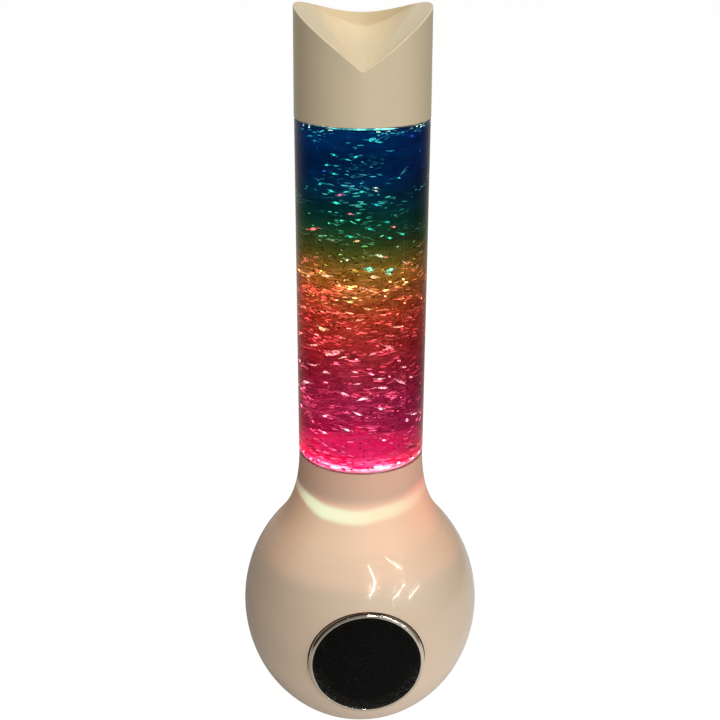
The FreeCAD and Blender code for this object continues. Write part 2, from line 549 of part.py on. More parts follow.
def button(x, sign):
    """Push button: crowned head, shank through the panel, flange behind it, stem towards its switch."""
    yf = surf_y(x, BTN_Z) + 0.9
    yi = min(math.sqrt(ball_r(zz, WALL) ** 2 - (abs(x) + 4.5) ** 2) for zz in (BTN_Z - 4.5, BTN_Z, BTN_Z + 4.5)) - 0.35
    stem_end = PB + 4.2 + BTN_TRAVEL + 0.35
    e = [line((0, stem_end), (1.6, stem_end)), line((1.6, stem_end), (1.6, yi - 0.9)),
         line((1.6, yi - 0.9), (4.5, yi - 0.9)), line((4.5, yi - 0.9), (4.5, yi)), line((4.5, yi), (BTN_R, yi)),
         line((BTN_R, yi), (BTN_R, yf - 0.5)), arc((BTN_R, yf - 0.5), (BTN_R - 0.15, yf - 0.15), (BTN_R - 0.5, yf)),
         arc((BTN_R - 0.5, yf), ((BTN_R - 0.5) * 0.55, yf + 0.17), (0, yf + 0.25)), line((0, yf + 0.25), (0, stem_end))]
    s = to_speaker(revolve_wire(e), d=1, x=x, z=BTN_Z)
    # plain raised mark: bar, bar and cross, or triangle
    y1 = yf + 0.1
    y2 = yf + 0.42
    if sign == "minus":
        mk = box(x - 1.3, x + 1.3, y1 - 0.4, y2, BTN_Z - 0.25, BTN_Z + 0.25)
    elif sign == "plus":
        mk = box(x - 1.3, x + 1.3, y1 - 0.4, y2, BTN_Z - 0.25, BTN_Z + 0.25).fuse(
            box(x - 0.25, x + 0.25, y1 - 0.4, y2, BTN_Z - 1.3, BTN_Z + 1.3))
    else:
        # seen from behind, +X is to the left, so the triangle points to -X
        w = Part.makePolygon([V(x + 1.0, y1 - 0.4, BTN_Z - 1.2), V(x - 1.3, y1 - 0.4, BTN_Z),
                              V(x + 1.0, y1 - 0.4, BTN_Z + 1.2), V(x + 1.0, y1 - 0.4, BTN_Z - 1.2)])
        mk = Part.Face(w).extrude(V(0, y2 - y1 + 0.4, 0))
    return s.fuse(mk)


for x, name, sign in zip(BTN_X, ("button_minus", "button_play", "button_plus"), ("minus", "play", "plus")):
    put(name, button(x, sign))

# rocker switch: housing with a bezel, paddle on two stub pins, pivot axis parallel to Z
RY = surf_y(ROCK_X, LOW_Z)           # skin at the switch
hy0, hy1 = RY - 12.0, RY + 0.7
hs = box(ROCK_X - rk[0], ROCK_X + rk[0], hy0, hy1, LOW_Z - rk[1], LOW_Z + rk[1])
bez_ = box(ROCK_X - rk[0] - 0.9, ROCK_X + rk[0] + 0.9, hy1 - 0.9, hy1, LOW_Z - rk[1] - 0.9, LOW_Z + rk[1] + 0.9)
bez_ = bez_.makeFillet(0.6, [q for q in bez_.Edges if abs(q.CenterOfMass.y - hy1) > 0.1 and
                             abs(q.BoundBox.YLength - 0.9) < 1e-6])
hs = hs.fuse(bez_)
pl, ph = 5.4, 2.8                    # half length and half height of the paddle
hs = hs.cut(box(ROCK_X - pl - 0.5, ROCK_X + pl + 0.5, hy0 + 1.5, hy1 + 1, LOW_Z - ph - 0.35, LOW_Z + ph + 0.35))
PVY = hy1 - 2.4                      # pivot
hs = hs.cut(Part.makeCylinder(0.8 + FIT, 2 * rk[1] - 0.8, V(ROCK_X, PVY, LOW_Z - rk[1] + 0.4)))
put("rocker_housing", hs)
seat = box(ROCK_X - rk[0] - 0.9, ROCK_X + rk[0] + 0.9, hy1 - 0.9, hy1 + 3, LOW_Z - rk[1] - 0.9, LOW_Z + rk[1] + 0.9)
put("control_panel", nodes["control_panel"].cut(seat))
prof = [(-pl, PVY + 1.9), (-pl, PVY - 0.6), (-1.4, PVY - 1.8), (1.4, PVY - 1.8), (pl, PVY - 0.6), (pl, PVY + 1.9),
        (0.0, PVY + 1.0)]
w = Part.makePolygon([V(ROCK_X + q[0], q[1], LOW_Z - ph) for q in prof + [prof[0]]])
pad = Part.Face(w).extrude(V(0, 0, 2 * ph))
pad = pad.fuse(Part.makeCylinder(0.8, 2 * ph + 1.8, V(ROCK_X, PVY, LOW_Z - ph - 0.9)))
pad = pad.fuse(box(ROCK_X - 3.7, ROCK_X - 3.3, PVY + 1.2, PVY + 1.75, LOW_Z - 1.2, LOW_Z + 1.2))
pad.rotate(V(ROCK_X, PVY, LOW_Z), V(0, 0, 1), -8.0)
put("rocker_paddle", pad)

# sockets
dy = surf_y(DC_X, LOW_Z)
dcj = ycyl(3.6, dy - 6.0, dy + 1.1, DC_X, LOW_Z, 1).fuse(
    box(DC_X - 4.5, DC_X + 4.5, dy - 15.0, dy - 5.4, LOW_Z - 5.0, LOW_Z + 4.5))
dcj = dcj.cut(ycyl(2.75, dy - 10.0, dy + 3.0, DC_X, LOW_Z, 1))
dcj = dcj.fuse(ycyl(1.0, dy - 11.0, dy - 1.0, DC_X, LOW_Z, 1))
put("dc_inlet", dcj)
ay = surf_y(AUX_X, LOW_Z)
axj = ycyl(3.0, ay - 6.0, ay + 1.1, AUX_X, LOW_Z, 1).fuse(
    box(AUX_X - 3.6, AUX_X + 3.6, ay - 15.5, ay - 5.4, LOW_Z - 5.0, LOW_Z + 3.6))
axj = axj.cut(ycyl(AUX_R, ay + 1.1 - AUX_L, ay + 3.0, AUX_X, LOW_Z, 1))
put("aux_jack", axj)


# ---- inner wiring -------------------------------------------------------------------------------
def lead(pts, r):
    """Round lead along straight runs joined by arcs."""
    P = [V(*p) for p in pts]
    ed = []
    cur = P[0]
    for i in range(1, len(P) - 1):
        a, b, c = P[i - 1], P[i], P[i + 1]
        u = (a - b).normalize()
        w_ = (c - b).normalize()
        ang = u.getAngle(w_)
        turn = math.pi - ang
        rad = 0.45 * min((a - b).Length, (c - b).Length) / math.tan(turn / 2)
        d = rad * math.tan(turn / 2)
        p1, p2 = b + u * d, b + w_ * d
        bis = (u + w_).normalize()
        ctr = b + bis * (rad / math.sin(ang / 2))
        mid = ctr + (b - ctr).normalize() * rad
        if (p1 - cur).Length > 1e-4:
            ed.append(Part.LineSegment(cur, p1).toShape())
        ed.append(Part.Arc(p1, mid, p2).toShape())
        cur = p2
        print("lead arc radius %.1f" % rad)
    ed.append(Part.LineSegment(cur, P[-1]).toShape())
    path = Part.Wire(ed)
    t = (P[1] - P[0]).normalize()
    prof_ = Part.Wire(Part.makeCircle(r, P[0], t))
    s = path.makePipeShell([prof_], True, False)
    print("lead volume ratio %.3f" % (s.Volume / (path.Length * math.pi * r * r)))
    return s.Solids[0] if s.Solids else s


put("speaker_leads", Part.Compound([
    lead([(21.6, -45.2, 58.5), (30.0, -34.0, 55.0), (30.0, -12.0, 40.0), (24.0, 0.0, 24.0), (10.5, 4.0, 27.5),
          (3.0, 1.5, 23.95)], 0.8)]))
put("lamp_leads", Part.Compound([
    lead([(0.0, 20.0, 121.5), (0.0, 20.0, 112.0), (-6.0, 28.0, 96.0), (-16.0, 30.0, 74.0), (-17.0, 27.0, 48.0),
          (-13.0, 22.5, 34.0), (-12.5, 22.0, 22.1)], 1.1)]))

# ---- write --------------------------------------------------------------------------------------
for name in sorted(nodes):
    s = nodes[name]
    s.exportStep("parts/" + name + ".step")
    bb = s.BoundBox
    print("%-20s solids %2d vol %10.1f  x %.1f..%.1f y %.1f..%.1f z %.1f..%.1f %s" % (
        name, len(s.Solids), s.Volume, bb.XMin, bb.XMax, bb.YMin, bb.YMax, bb.ZMin, bb.ZMax,
        "" if s.isValid() else "INVALID"))
print(len(nodes), "nodes")
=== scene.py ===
import math
import random

import bmesh
import bpy
from mathutils import Matrix, Vector
from mathutils.geometry import delaunay_2d_cdt


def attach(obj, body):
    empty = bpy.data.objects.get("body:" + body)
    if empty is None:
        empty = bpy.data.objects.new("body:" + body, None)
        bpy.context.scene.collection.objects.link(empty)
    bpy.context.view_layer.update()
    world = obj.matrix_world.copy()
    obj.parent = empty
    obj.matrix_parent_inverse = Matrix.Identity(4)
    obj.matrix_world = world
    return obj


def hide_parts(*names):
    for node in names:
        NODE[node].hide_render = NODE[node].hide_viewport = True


# Glitter lamp: ball-shaped base with a loudspeaker, tall bottle of glitter liquid, scooped cap.
# Everything is in metres in the row frame; the lamp's axis is the Z axis and the speaker faces -Y.

MM = 0.001
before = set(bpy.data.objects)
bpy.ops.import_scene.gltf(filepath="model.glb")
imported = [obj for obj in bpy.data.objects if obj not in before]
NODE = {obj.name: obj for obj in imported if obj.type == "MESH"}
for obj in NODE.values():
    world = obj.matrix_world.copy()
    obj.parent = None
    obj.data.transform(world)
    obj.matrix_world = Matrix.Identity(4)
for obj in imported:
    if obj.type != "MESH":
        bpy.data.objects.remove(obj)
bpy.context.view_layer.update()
scene = bpy.context.scene


# ---- camera ---------------------------------------------------------------------------------------
PITCH = math.radians(21.30)
AZ = math.radians(-3.5)
DIST, HIGH = 0.616, 0.4493
cam_data = bpy.data.cameras.new("camera")
cam_data.lens = 59.9
cam_data.sensor_width = 36.0
cam_data.clip_start = 0.02
cam_data.clip_end = 60.0
cam = bpy.data.objects.new("camera", cam_data)
scene.collection.objects.link(cam)
cam_yaw = math.atan(1.2 / 1198.0 / math.cos(PITCH))
cam.matrix_world = (
    Matrix.Translation((DIST * math.sin(AZ), -DIST * math.cos(AZ), HIGH))
    @ Matrix.Rotation(AZ + cam_yaw, 4, "Z")
    @ Matrix.Rotation(math.pi / 2 - PITCH, 4, "X")
    @ Matrix.Rotation(math.radians(0.27), 4, "Z")
)
scene.camera = cam


# ---- shader helpers -------------------------------------------------------------------------------
class Tree:
    """A material and short calls for its nodes. An input may be a number, a colour or a socket."""

    def __init__(self, name):
        self.mat = bpy.data.materials.new(name)
        self.mat.use_nodes = True
        self.nt = self.mat.node_tree
        self.nt.nodes.clear()
        self.out = self.nt.nodes.new("ShaderNodeOutputMaterial")
        self._xyz = None
        self._co = None

    def put(self, socket, value):
        if isinstance(value, bpy.types.NodeSocket):
            self.nt.links.new(value, socket)
        elif value is not None:
            if isinstance(value, (tuple, list)) and len(value) == 3 and socket.type == "RGBA":
                value = (*value, 1.0)
            socket.default_value = value

    def add(self, kind, **props):
        n = self.nt.nodes.new(kind)
        for k, v in props.items():
            setattr(n, k, v)
        return n

    def math(self, op, a, b=None, c=None, clamp=False):
        n = self.add("ShaderNodeMath", operation=op, use_clamp=clamp)
        for i, v in enumerate((a, b, c)):
            if v is not None:
                self.put(n.inputs[i], v)
        return n.outputs[0]

    def span(self, v, a, b, c=0.0, d=1.0, smooth=True):
        n = self.add("ShaderNodeMapRange", interpolation_type="SMOOTHSTEP" if smooth else "LINEAR", clamp=True)
        for i, x in enumerate((v, a, b, c, d)):
            self.put(n.inputs[i], x)
        return n.outputs[0]

    def mix(self, fac, a, b, blend="MIX"):
        n = self.add("ShaderNodeMix", data_type="RGBA", blend_type=blend, clamp_result=False)
        self.put(n.inputs[0], fac)
        self.put(n.inputs[6], a)
        self.put(n.inputs[7], b)
        return n.outputs[2]

    def ramp(self, fac, stops, interp="LINEAR"):
        n = self.add("ShaderNodeValToRGB")
        n.color_ramp.interpolation = interp
        e = n.color_ramp.elements
        while len(e) < len(stops):
            e.new(0.5)
        for i, (p, col) in enumerate(stops):
            e[i].position = p
        for i, (p, col) in enumerate(sorted(stops, key=lambda s: s[0])):
            e[i].position = p
            e[i].color = (*col, 1.0) if len(col) == 3 else col
        self.put(n.inputs[0], fac)
        return n.outputs[0]

    def curve(self, v, lo, hi, pts):
        """Smooth curve through (value, height) points, by a ramp of half heights."""
        out = self.ramp(self.span(v, lo, hi, 0.0, 1.0, smooth=False),
                        [((x - lo) / (hi - lo), (h * 0.5, h * 0.5, h * 0.5)) for x, h in pts])
        return self.math("MULTIPLY", out, 2.0)

    def co(self):
        if self._co is None:
            self._co = self.add("ShaderNodeTexCoord").outputs["Object"]
        return self._co

    def xyz(self):
        if self._xyz is None:
            s = self.add("ShaderNodeSeparateXYZ")
            self.put(s.inputs[0], self.co())
            self._xyz = s.outputs
        return self._xyz

    def around(self):
        """Degrees about the lamp's axis: 0 in front, positive to +X."""
        x, y, z = self.xyz()
        return self.math("MULTIPLY", self.math("ARCTAN2", x, self.math("MULTIPLY", y, -1.0)), 57.29578)

    def stretch(self, sx, sy, sz, vec=None):
        n = self.add("ShaderNodeVectorMath", operation="MULTIPLY")
        self.put(n.inputs[0], vec or self.co())
        n.inputs[1].default_value = (sx, sy, sz)
        return n.outputs[0]

    def noise(self, scale, detail=2.0, rough=0.5, vec=None, colour=False, distort=0.0):
        n = self.add("ShaderNodeTexNoise")
        self.put(n.inputs["Vector"], vec or self.co())
        n.inputs["Scale"].default_value = scale
        n.inputs["Detail"].default_value = detail
        n.inputs["Roughness"].default_value = rough
        n.inputs["Distortion"].default_value = distort
        return n.outputs["Color" if colour else 0]

    def voronoi(self, scale, vec=None, feature="F1", out="Distance", rand=1.0):
        n = self.add("ShaderNodeTexVoronoi", feature=feature)
        self.put(n.inputs["Vector"], vec or self.co())
        n.inputs["Scale"].default_value = scale
        n.inputs["Randomness"].default_value = rand
        return n.outputs[out]

    def bump(self, height, distance, strength=1.0, normal=None):
        n = self.add("ShaderNodeBump")
        n.inputs["Strength"].default_value = strength
        n.inputs["Distance"].default_value = distance
        self.put(n.inputs["Height"], height)
        if normal is not None:
            self.put(n.inputs["Normal"], normal)
        return n.outputs[0]

    def principled(self, **inputs):
        n = self.add("ShaderNodeBsdfPrincipled")
        for k, v in inputs.items():
            self.put(n.inputs[k.replace("_", " ")], v)
        self.nt.links.new(n.outputs[0], self.out.inputs[0])
        return n

    def surface(self, shader):
        self.nt.links.new(shader, self.out.inputs[0])
        return self.mat

    def emission(self, colour, strength=1.0):
        n = self.add("ShaderNodeEmission")
        self.put(n.inputs[0], colour)
        self.put(n.inputs[1], strength)
        return n.outputs[0]

    def clear(self, colour=(1.0, 1.0, 1.0)):
        n = self.add("ShaderNodeBsdfTransparent")
        self.put(n.inputs[0], colour)
        return n.outputs[0]

    def blend(self, fac, a, b):
        n = self.add("ShaderNodeMixShader")
        self.put(n.inputs[0], fac)
        self.nt.links.new(a, n.inputs[1])
        self.nt.links.new(b, n.inputs[2])
        return n.outputs[0]


def tone(c, k):
    return tuple(x * k for x in c)


# ---- opaque finishes ------------------------------------------------------------------------------
def gloss_shell(name, colour, glow=False, coat=0.55, haze_of_coat=0.03):
    """Gloss moulded plastic: faint clouding, fine orange peel, a clear gloss. glow adds the lamp's light on the shoulder."""
    t = Tree(name)
    cloud = t.noise(22.0, 3.0, 0.55)
    base = t.ramp(cloud, [(0.30, tone(colour, 0.975)), (0.70, tone(colour, 1.01))])
    speck = t.span(t.noise(1500.0, 1.0), 0.70, 0.82, 0.0, 0.05)
    base = t.mix(speck, base, tone(colour, 0.72))
    rough = t.span(t.noise(160.0, 2.0), 0.3, 0.7, 0.20, 0.27, smooth=False)
    peel = t.noise(420.0, 1.0)
    p = t.principled(Base_Color=base, Roughness=rough, IOR=1.50, Normal=t.bump(peel, 0.00002, 0.10),
                     Coat_Weight=coat, Coat_Roughness=haze_of_coat)
    if glow:
        # the gloss follows the true ellipsoid and the neck's curve, so that small lights mirror cleanly in it
        x, y, z = t.xyz()
        zm = t.math("MULTIPLY", z, 1000.0)
        neck_up = t.curve(zm, 108.8, 156.0, [(108.8, 0.4350), (110.0, 0.4087), (111.5, 0.3750), (113.0, 0.3425), (115.0, 0.3009),
                                             (117.0, 0.2641), (119.0, 0.2321), (122.0, 0.1894), (125.0, 0.1560), (128.0, 0.1273),
                                             (132.0, 0.0967), (138.0, 0.0633), (146.0, 0.0316), (156.0, 0.0049)])
        ball_up = t.math("MULTIPLY", t.math("SUBTRACT", z, 0.05865), (68.3 / 73.35) ** 2)
        on_neck = t.math("GREATER_THAN", zm, 108.82)
        up = t.math("ADD", t.math("MULTIPLY", ball_up, t.math("SUBTRACT", 1.0, on_neck)),
                    t.math("MULTIPLY", t.math("MULTIPLY", neck_up, 0.1), on_neck))
        whole = t.add("ShaderNodeCombineXYZ")
        for k, v in enumerate((x, y, up)):
            t.put(whole.inputs[k], v)
        true = t.add("ShaderNodeVectorMath", operation="NORMALIZE")
        t.put(true.inputs[0], whole.outputs[0])
        plain = t.add("ShaderNodeNewGeometry").outputs["Normal"]
        agree = t.add("ShaderNodeVectorMath", operation="DOT_PRODUCT")
        t.put(agree.inputs[0], plain)
        t.put(agree.inputs[1], true.outputs[0])
        both = t.add("ShaderNodeMix", data_type="VECTOR")
        t.put(both.inputs[0], t.span(agree.outputs["Value"], 0.93, 0.97))
        t.put(both.inputs[4], plain)
        t.put(both.inputs[5], true.outputs[0])
        # the clear gloss runs on from the ball, and ends on the neck's curve, which mirrors nothing
        ball = t.add("ShaderNodeCombineXYZ")
        for k, v in enumerate((x, y, ball_up)):
            t.put(ball.inputs[k], v)
        ball_n = t.add("ShaderNodeVectorMath", operation="NORMALIZE")
        t.put(ball_n.inputs[0], ball.outputs[0])
        gloss = t.add("ShaderNodeMix", data_type="VECTOR")
        t.put(gloss.inputs[0], t.math("MULTIPLY", t.span(agree.outputs["Value"], 0.93, 0.97), t.span(zm, 114.0, 115.0, 1.0, 0.0)))
        t.put(gloss.inputs[4], plain)
        t.put(gloss.inputs[5], ball_n.outputs[0])
        t.put(p.inputs["Coat Normal"], gloss.outputs[1])
        t.put(p.inputs["Coat Weight"], t.span(zm, 112.0, 113.6, 0.55, 0.08))
        t.put(p.inputs["Roughness"], t.math("ADD", rough, t.span(zm, 107.0, 112.0, 0.0, 0.22)))
        t.put(p.inputs["Normal"], t.bump(peel, 0.00002, 0.06, both.outputs[1]))
        deg = t.around()
        turn = t.span(deg, -180.0, 180.0, 0.0, 1.0, smooth=False)

        def by_turn(stops):
            return t.ramp(turn, [((d + 180.0) / 360.0, c) for d, c in stops])

        # painted reflection and shade of the red bottle: the neck's base colour turns redder towards its top
        up_neck = t.span(zm, 138.0, 143.0)
        t.put(p.inputs["Base Color"], t.mix(up_neck, base, t.mix(1.0, base, (1.03, 0.85, 0.82), "MULTIPLY")))
        # wash: light from the foot of the bottle on the upper part of the ball, with a soft lower limit
        lip = t.noise(9.0, 1.0)
        zl = t.math("ADD", zm, t.math("MULTIPLY", t.math("SUBTRACT", lip, 0.5), 5.0))
        fall = t.curve(zl, 90.0, 130.0, [(92.5, 0.03), (95.5, 0.20), (98.0, 0.50), (101.0, 0.66), (106.0, 0.78), (111.0, 0.88),
                                         (115.0, 1.0), (120.0, 1.38), (126.0, 1.72)])
        wcol = by_turn([(-180, (0.12, 0.03, 0.01)), (-84, (0.07, 0.012, 0.0)), (-60, (0.17, 0.065, 0.02)),
                        (-36, (0.25, 0.14, 0.08)), (-10, (0.25, 0.135, 0.08)), (12, (0.27, 0.10, 0.05)),
                        (36, (0.23, 0.075, 0.022)), (60, (0.21, 0.065, 0.02)), (84, (0.12, 0.03, 0.01)),
                        (180, (0.12, 0.03, 0.01))])
        red_top = t.math("MULTIPLY", t.curve(deg, -180.0, 180.0, [(-180, 1.423), (-90, 1.406), (0, 1.406), (20, 1.412), (42, 1.430),
                                                                  (62, 1.440), (100, 1.438), (180, 1.423)]), 100.0)
        red_on = t.span(t.math("SUBTRACT", zm, red_top), -4.6, 0.6, 1.0, 0.0)
        rest_on = t.span(zm, 135.0, 139.5, 1.0, 0.0)
        tops = t.add("ShaderNodeCombineColor")
        for k, v in enumerate((red_on, rest_on, rest_on)):
            t.put(tops.inputs[k], v)
        wash = t.mix(1.0, t.mix(fall, (0, 0, 0), wcol), tops.outputs[0], "MULTIPLY")
        # painted red light from the bottle: a redder patch high on the +X side
        patch = t.math("MULTIPLY", t.math("MULTIPLY", t.span(deg, 26.0, 58.0), t.span(deg, 70.0, 100.0, 1.0, 0.0)),
                       t.math("MULTIPLY", t.span(zm, 112.0, 122.0), red_on))
        # bright arc where the bottle's heel throws its light
        zc = t.curve(deg, -180.0, 180.0, [(-180, 1.365), (-90, 1.37), (-72, 1.36), (-60, 1.352), (-48, 1.336), (-36, 1.319), (-12, 1.312),
                                          (0, 1.313), (13, 1.330), (36, 1.341), (60, 1.353), (84, 1.36), (180, 1.365)])
        zc = t.math("MULTIPLY", zc, 100.0)
        half = t.math("SUBTRACT", 3.6, t.math("MULTIPLY", t.span(t.math("ABSOLUTE", deg), 40.0, 75.0), 1.2))
        off = t.math("ABSOLUTE", t.math("DIVIDE", t.math("SUBTRACT", zm, zc), half))
        arc = t.span(off, 0.45, 1.55, 1.0, 0.0)
        acol = by_turn([(-180, (0.05, 0.05, 0.04)), (-88, (0.10, 0.13, 0.08)), (-72, (0.14, 0.18, 0.11)), (-56, (0.24, 0.43, 0.29)),
                        (-36, (0.20, 0.46, 0.31)), (-10, (0.18, 0.36, 0.24)), (8, (0.12, 0.26, 0.17)),
                        (28, (0.10, 0.23, 0.15)), (46, (0.08, 0.13, 0.09)), (64, (0.04, 0.05, 0.03)), (180, (0.05, 0.05, 0.04))])
        light = t.mix(1.0, wash, t.mix(arc, (0, 0, 0), acol), "ADD")
        light = t.mix(1.0, light, t.mix(patch, (0, 0, 0), (0.15, 0.0, 0.004)), "ADD")
        # painted red light from the bottle on the top of the neck, strongest towards +X
        neck = t.math("MULTIPLY", t.span(zm, 141.0, 147.0),
                      t.curve(deg, -180.0, 180.0, [(-180, 0.5), (-90, 0.3), (-20, 0.25), (0, 0.45), (30, 0.85), (50, 1.0), (100, 0.9),
                                                   (180, 0.5)]))
        light = t.mix(1.0, light, t.mix(neck, (0, 0, 0), (0.065, 0.004, 0.004)), "ADD")
        t.put(p.inputs["Emission Color"], light)
        p.inputs["Emission Strength"].default_value = 1.0
        t.mat.cycles.emission_sampling = "NONE"
    return t.mat


def moulded(name, colour, rough=0.5, grain=900.0, deep=0.00003):
    """Satin moulded plastic with a fine spark-eroded grain."""
    t = Tree(name)
    base = t.ramp(t.noise(40.0, 3.0), [(0.3, tone(colour, 0.90)), (0.7, tone(colour, 1.06))])
    r = t.span(t.noise(120.0, 2.0), 0.3, 0.7, rough - 0.06, rough + 0.06, smooth=False)
    t.principled(Base_Color=base, Roughness=r, IOR=1.5, Normal=t.bump(t.noise(grain, 2.0), deep, 0.4))
    return t.mat


def rubber(name, colour):
    t = Tree(name)
    dust = t.span(t.noise(60.0, 4.0, 0.65), 0.52, 0.78, 0.0, 0.35)
    base = t.mix(dust, colour, (0.16, 0.155, 0.15))
    t.principled(Base_Color=base, Roughness=t.span(dust, 0.0, 0.35, 0.62, 0.85, smooth=False), IOR=1.45,
                 Normal=t.bump(t.noise(1600.0, 2.0), 0.00005, 0.5))
    return t.mat


def metal(name, colour, rough=0.30, line=(1.0, 1.0, 14.0), scale=500.0):
    """Bare or plated metal with fine turning marks."""
    t = Tree(name)
    marks = t.noise(scale, 3.0, 0.6, t.stretch(*line))
    base = t.ramp(marks, [(0.3, tone(colour, 0.82)), (0.7, colour)])
    r = t.span(marks, 0.3, 0.7, rough - 0.08, rough + 0.08, smooth=False)
    t.principled(Base_Color=base, Metallic=1.0, Roughness=r, Normal=t.bump(marks, 0.00002, 0.35))
    return t.mat


def cast(name, colour, rough=0.55, metallic=0.6):
    t = Tree(name)
    pit = t.voronoi(700.0)
    base = t.ramp(t.noise(90.0, 4.0), [(0.3, tone(colour, 0.75)), (0.7, tone(colour, 1.15))])
    t.principled(Base_Color=base, Metallic=metallic, Roughness=t.span(t.noise(300.0, 2.0), 0.3, 0.7, rough - 0.1, rough + 0.1, smooth=False),
                 Normal=t.bump(pit, 0.00012, 0.5))
    return t.mat


def circuit_board(name):
    """Green solder mask with routed tracks and pads under it."""
    t = Tree(name)
    x, y, z = t.xyz()
    lines = t.add("ShaderNodeTexBrick")
    t.put(lines.inputs["Vector"], t.stretch(1.0, 1.0, 1.0))
    lines.inputs["Color1"].default_value = (0.012, 0.085, 0.034, 1)
    lines.inputs["Color2"].default_value = (0.016, 0.105, 0.042, 1)
    lines.inputs["Mortar"].default_value = (0.022, 0.17, 0.062, 1)
    lines.inputs["Scale"].default_value = 260.0
    lines.inputs["Mortar Size"].default_value = 0.05
    pads = t.span(t.voronoi(230.0, rand=0.75), 0.10, 0.14, 1.0, 0.0)
    base = t.mix(pads, lines.outputs[0], (0.62, 0.60, 0.55))
    t.principled(Base_Color=base, Roughness=t.span(t.noise(300.0), 0.3, 0.7, 0.28, 0.42, smooth=False), IOR=1.5,
                 Normal=t.bump(lines.outputs[1], 0.00003, 0.5))
    return t.mat


def copper_coil(name):
    t = Tree(name)
    w = t.add("ShaderNodeTexWave", wave_type="BANDS", bands_direction="Y")
    t.put(w.inputs["Vector"], t.co())
    w.inputs["Scale"].default_value = 1500.0
    w.inputs["Distortion"].default_value = 0.6
    base = t.ramp(w.outputs[1], [(0.1, (0.22, 0.07, 0.02)), (0.8, (0.72, 0.30, 0.11))])
    t.principled(Base_Color=base, Metallic=1.0, Roughness=t.span(w.outputs[1], 0.0, 1.0, 0.42, 0.24, smooth=False),
                 Normal=t.bump(w.outputs[1], 0.0001, 0.6))
    return t.mat


def pressed_paper(name):
    t = Tree(name)
    fibre = t.noise(900.0, 4.0, 0.7, t.stretch(1.0, 0.25, 1.0), distort=1.2)
    base = t.ramp(fibre, [(0.3, (0.018, 0.018, 0.018)), (0.75, (0.065, 0.062, 0.058))])
    t.principled(Base_Color=base, Roughness=t.span(fibre, 0.3, 0.7, 0.82, 0.65, smooth=False),
                 Normal=t.bump(fibre, 0.0001, 0.6))
    return t.mat


def lead_sheath(name, colour):
    t = Tree(name)
    base = t.ramp(t.noise(150.0, 2.0), [(0.3, tone(colour, 0.8)), (0.7, colour)])
    t.principled(Base_Color=base, Roughness=t.span(t.noise(400.0), 0.3, 0.7, 0.38, 0.50, smooth=False),
                 Normal=t.bump(t.noise(2500.0), 0.00002, 0.4))
    return t.mat


def chrome(name):
    """Polished plating with faint hairlines and a little haze."""
    t = Tree(name)
    hair = t.noise(260.0, 4.0, 0.6, t.stretch(1.0, 9.0, 1.0))
    # painted reflection: the plating is tinted warm cream for the cream surroundings that it mirrors
    base = t.ramp(t.noise(70.0, 3.0), [(0.3, (0.70, 0.62, 0.52)), (0.7, (0.78, 0.71, 0.61))])
    t.principled(Base_Color=base, Metallic=1.0, Roughness=t.span(hair, 0.3, 0.7, 0.09, 0.15, smooth=False),
                 Normal=t.bump(hair, 0.00001, 0.25))
    return t.mat


def satin_black(name):
    """Black coat on perforated sheet: matt, worn a shade lighter on the crests at random, with painted highlights on
    the crests along the lower arc of the rim.
    """
    t = Tree(name)
    grit = t.noise(2600.0, 2.0)
    wear = t.span(t.noise(120.0, 3.0, 0.6), 0.55, 0.75, 0.0, 0.4)
    # painted highlights: lighter specks on the crests along the lower arc near the rim
    x, y, z = t.xyz()
    down = t.math("SUBTRACT", 0.055, z)
    out = t.math("SQRT", t.math("ADD", t.math("MULTIPLY", x, x), t.math("MULTIPLY", down, down)))
    low = t.math("MULTIPLY", t.span(out, 0.0215, 0.0265), t.span(down, -0.004, 0.012))
    low = t.math("MULTIPLY", low, t.span(t.noise(1500.0, 1.0), 0.52, 0.66))
    base = t.mix(wear, (0.0008, 0.0008, 0.0007), (0.0022, 0.0021, 0.0019))
    base = t.mix(low, base, (0.060, 0.058, 0.052))
    t.principled(Base_Color=base, Roughness=t.span(grit, 0.3, 0.7, 0.34, 0.50, smooth=False), IOR=1.22,
                 Normal=t.bump(grit, 0.00002, 0.5))
    return t.mat


def frosted(name):
    """Frosted diffuser, lit from below by the ring of lamps."""
    t = Tree(name)
    x, y, z = t.xyz()
    cells = t.voronoi(700.0)
    a = t.math("ARCTAN2", x, y)
    spots = t.math("ABSOLUTE", t.math("SINE", t.math("MULTIPLY", a, 6.0)))
    lit = t.ramp(spots, [(0.0, (1.2, 0.35, 0.45)), (1.0, (2.2, 1.1, 1.2))])
    t.principled(Base_Color=t.mix(t.span(cells, 0.0, 0.6), (0.80, 0.78, 0.76), (0.90, 0.88, 0.86)),
                 Roughness=t.span(cells, 0.0, 0.6, 0.5, 0.7, smooth=False), Emission_Color=lit,
                 Normal=t.bump(cells, 0.0001, 0.5)).inputs["Emission Strength"].default_value = 1.0
    t.mat.cycles.emission_sampling = "NONE"
    return t.mat


def led_face(name):
    t = Tree(name)
    x, y, z = t.xyz()
    warm = t.ramp(t.noise(400.0), [(0.3, (1.0, 0.72, 0.45)), (0.7, (1.0, 0.85, 0.65))])
    up = t.span(z, 0.1242, 0.1246, 0.05, 4.0)
    p = t.principled(Base_Color=warm, Roughness=t.span(t.noise(900.0), 0.3, 0.7, 0.25, 0.4, smooth=False),
                     Emission_Color=warm)
    t.put(p.inputs["Emission Strength"], up)
    t.mat.cycles.emission_sampling = "NONE"
    return t.mat


# ---- bottle, film and glitter ---------------------------------------------------------------------
FILM_LO, FILM_HI = 0.158, 0.343


def height(t, noise_mm=0.0):
    """0 at the film's foot, 1 at its top."""
    z = t.xyz()[2]
    if noise_mm:
        n = t.noise(16.0, 2.0)
        z = t.math("ADD", z, t.math("MULTIPLY", t.math("SUBTRACT", n, 0.5), noise_mm * MM * 2.0))
    return t.span(z, FILM_LO, FILM_HI, 0.0, 1.0, smooth=False)


def at(z_mm):
    return (z_mm * MM - FILM_LO) / (FILM_HI - FILM_LO)


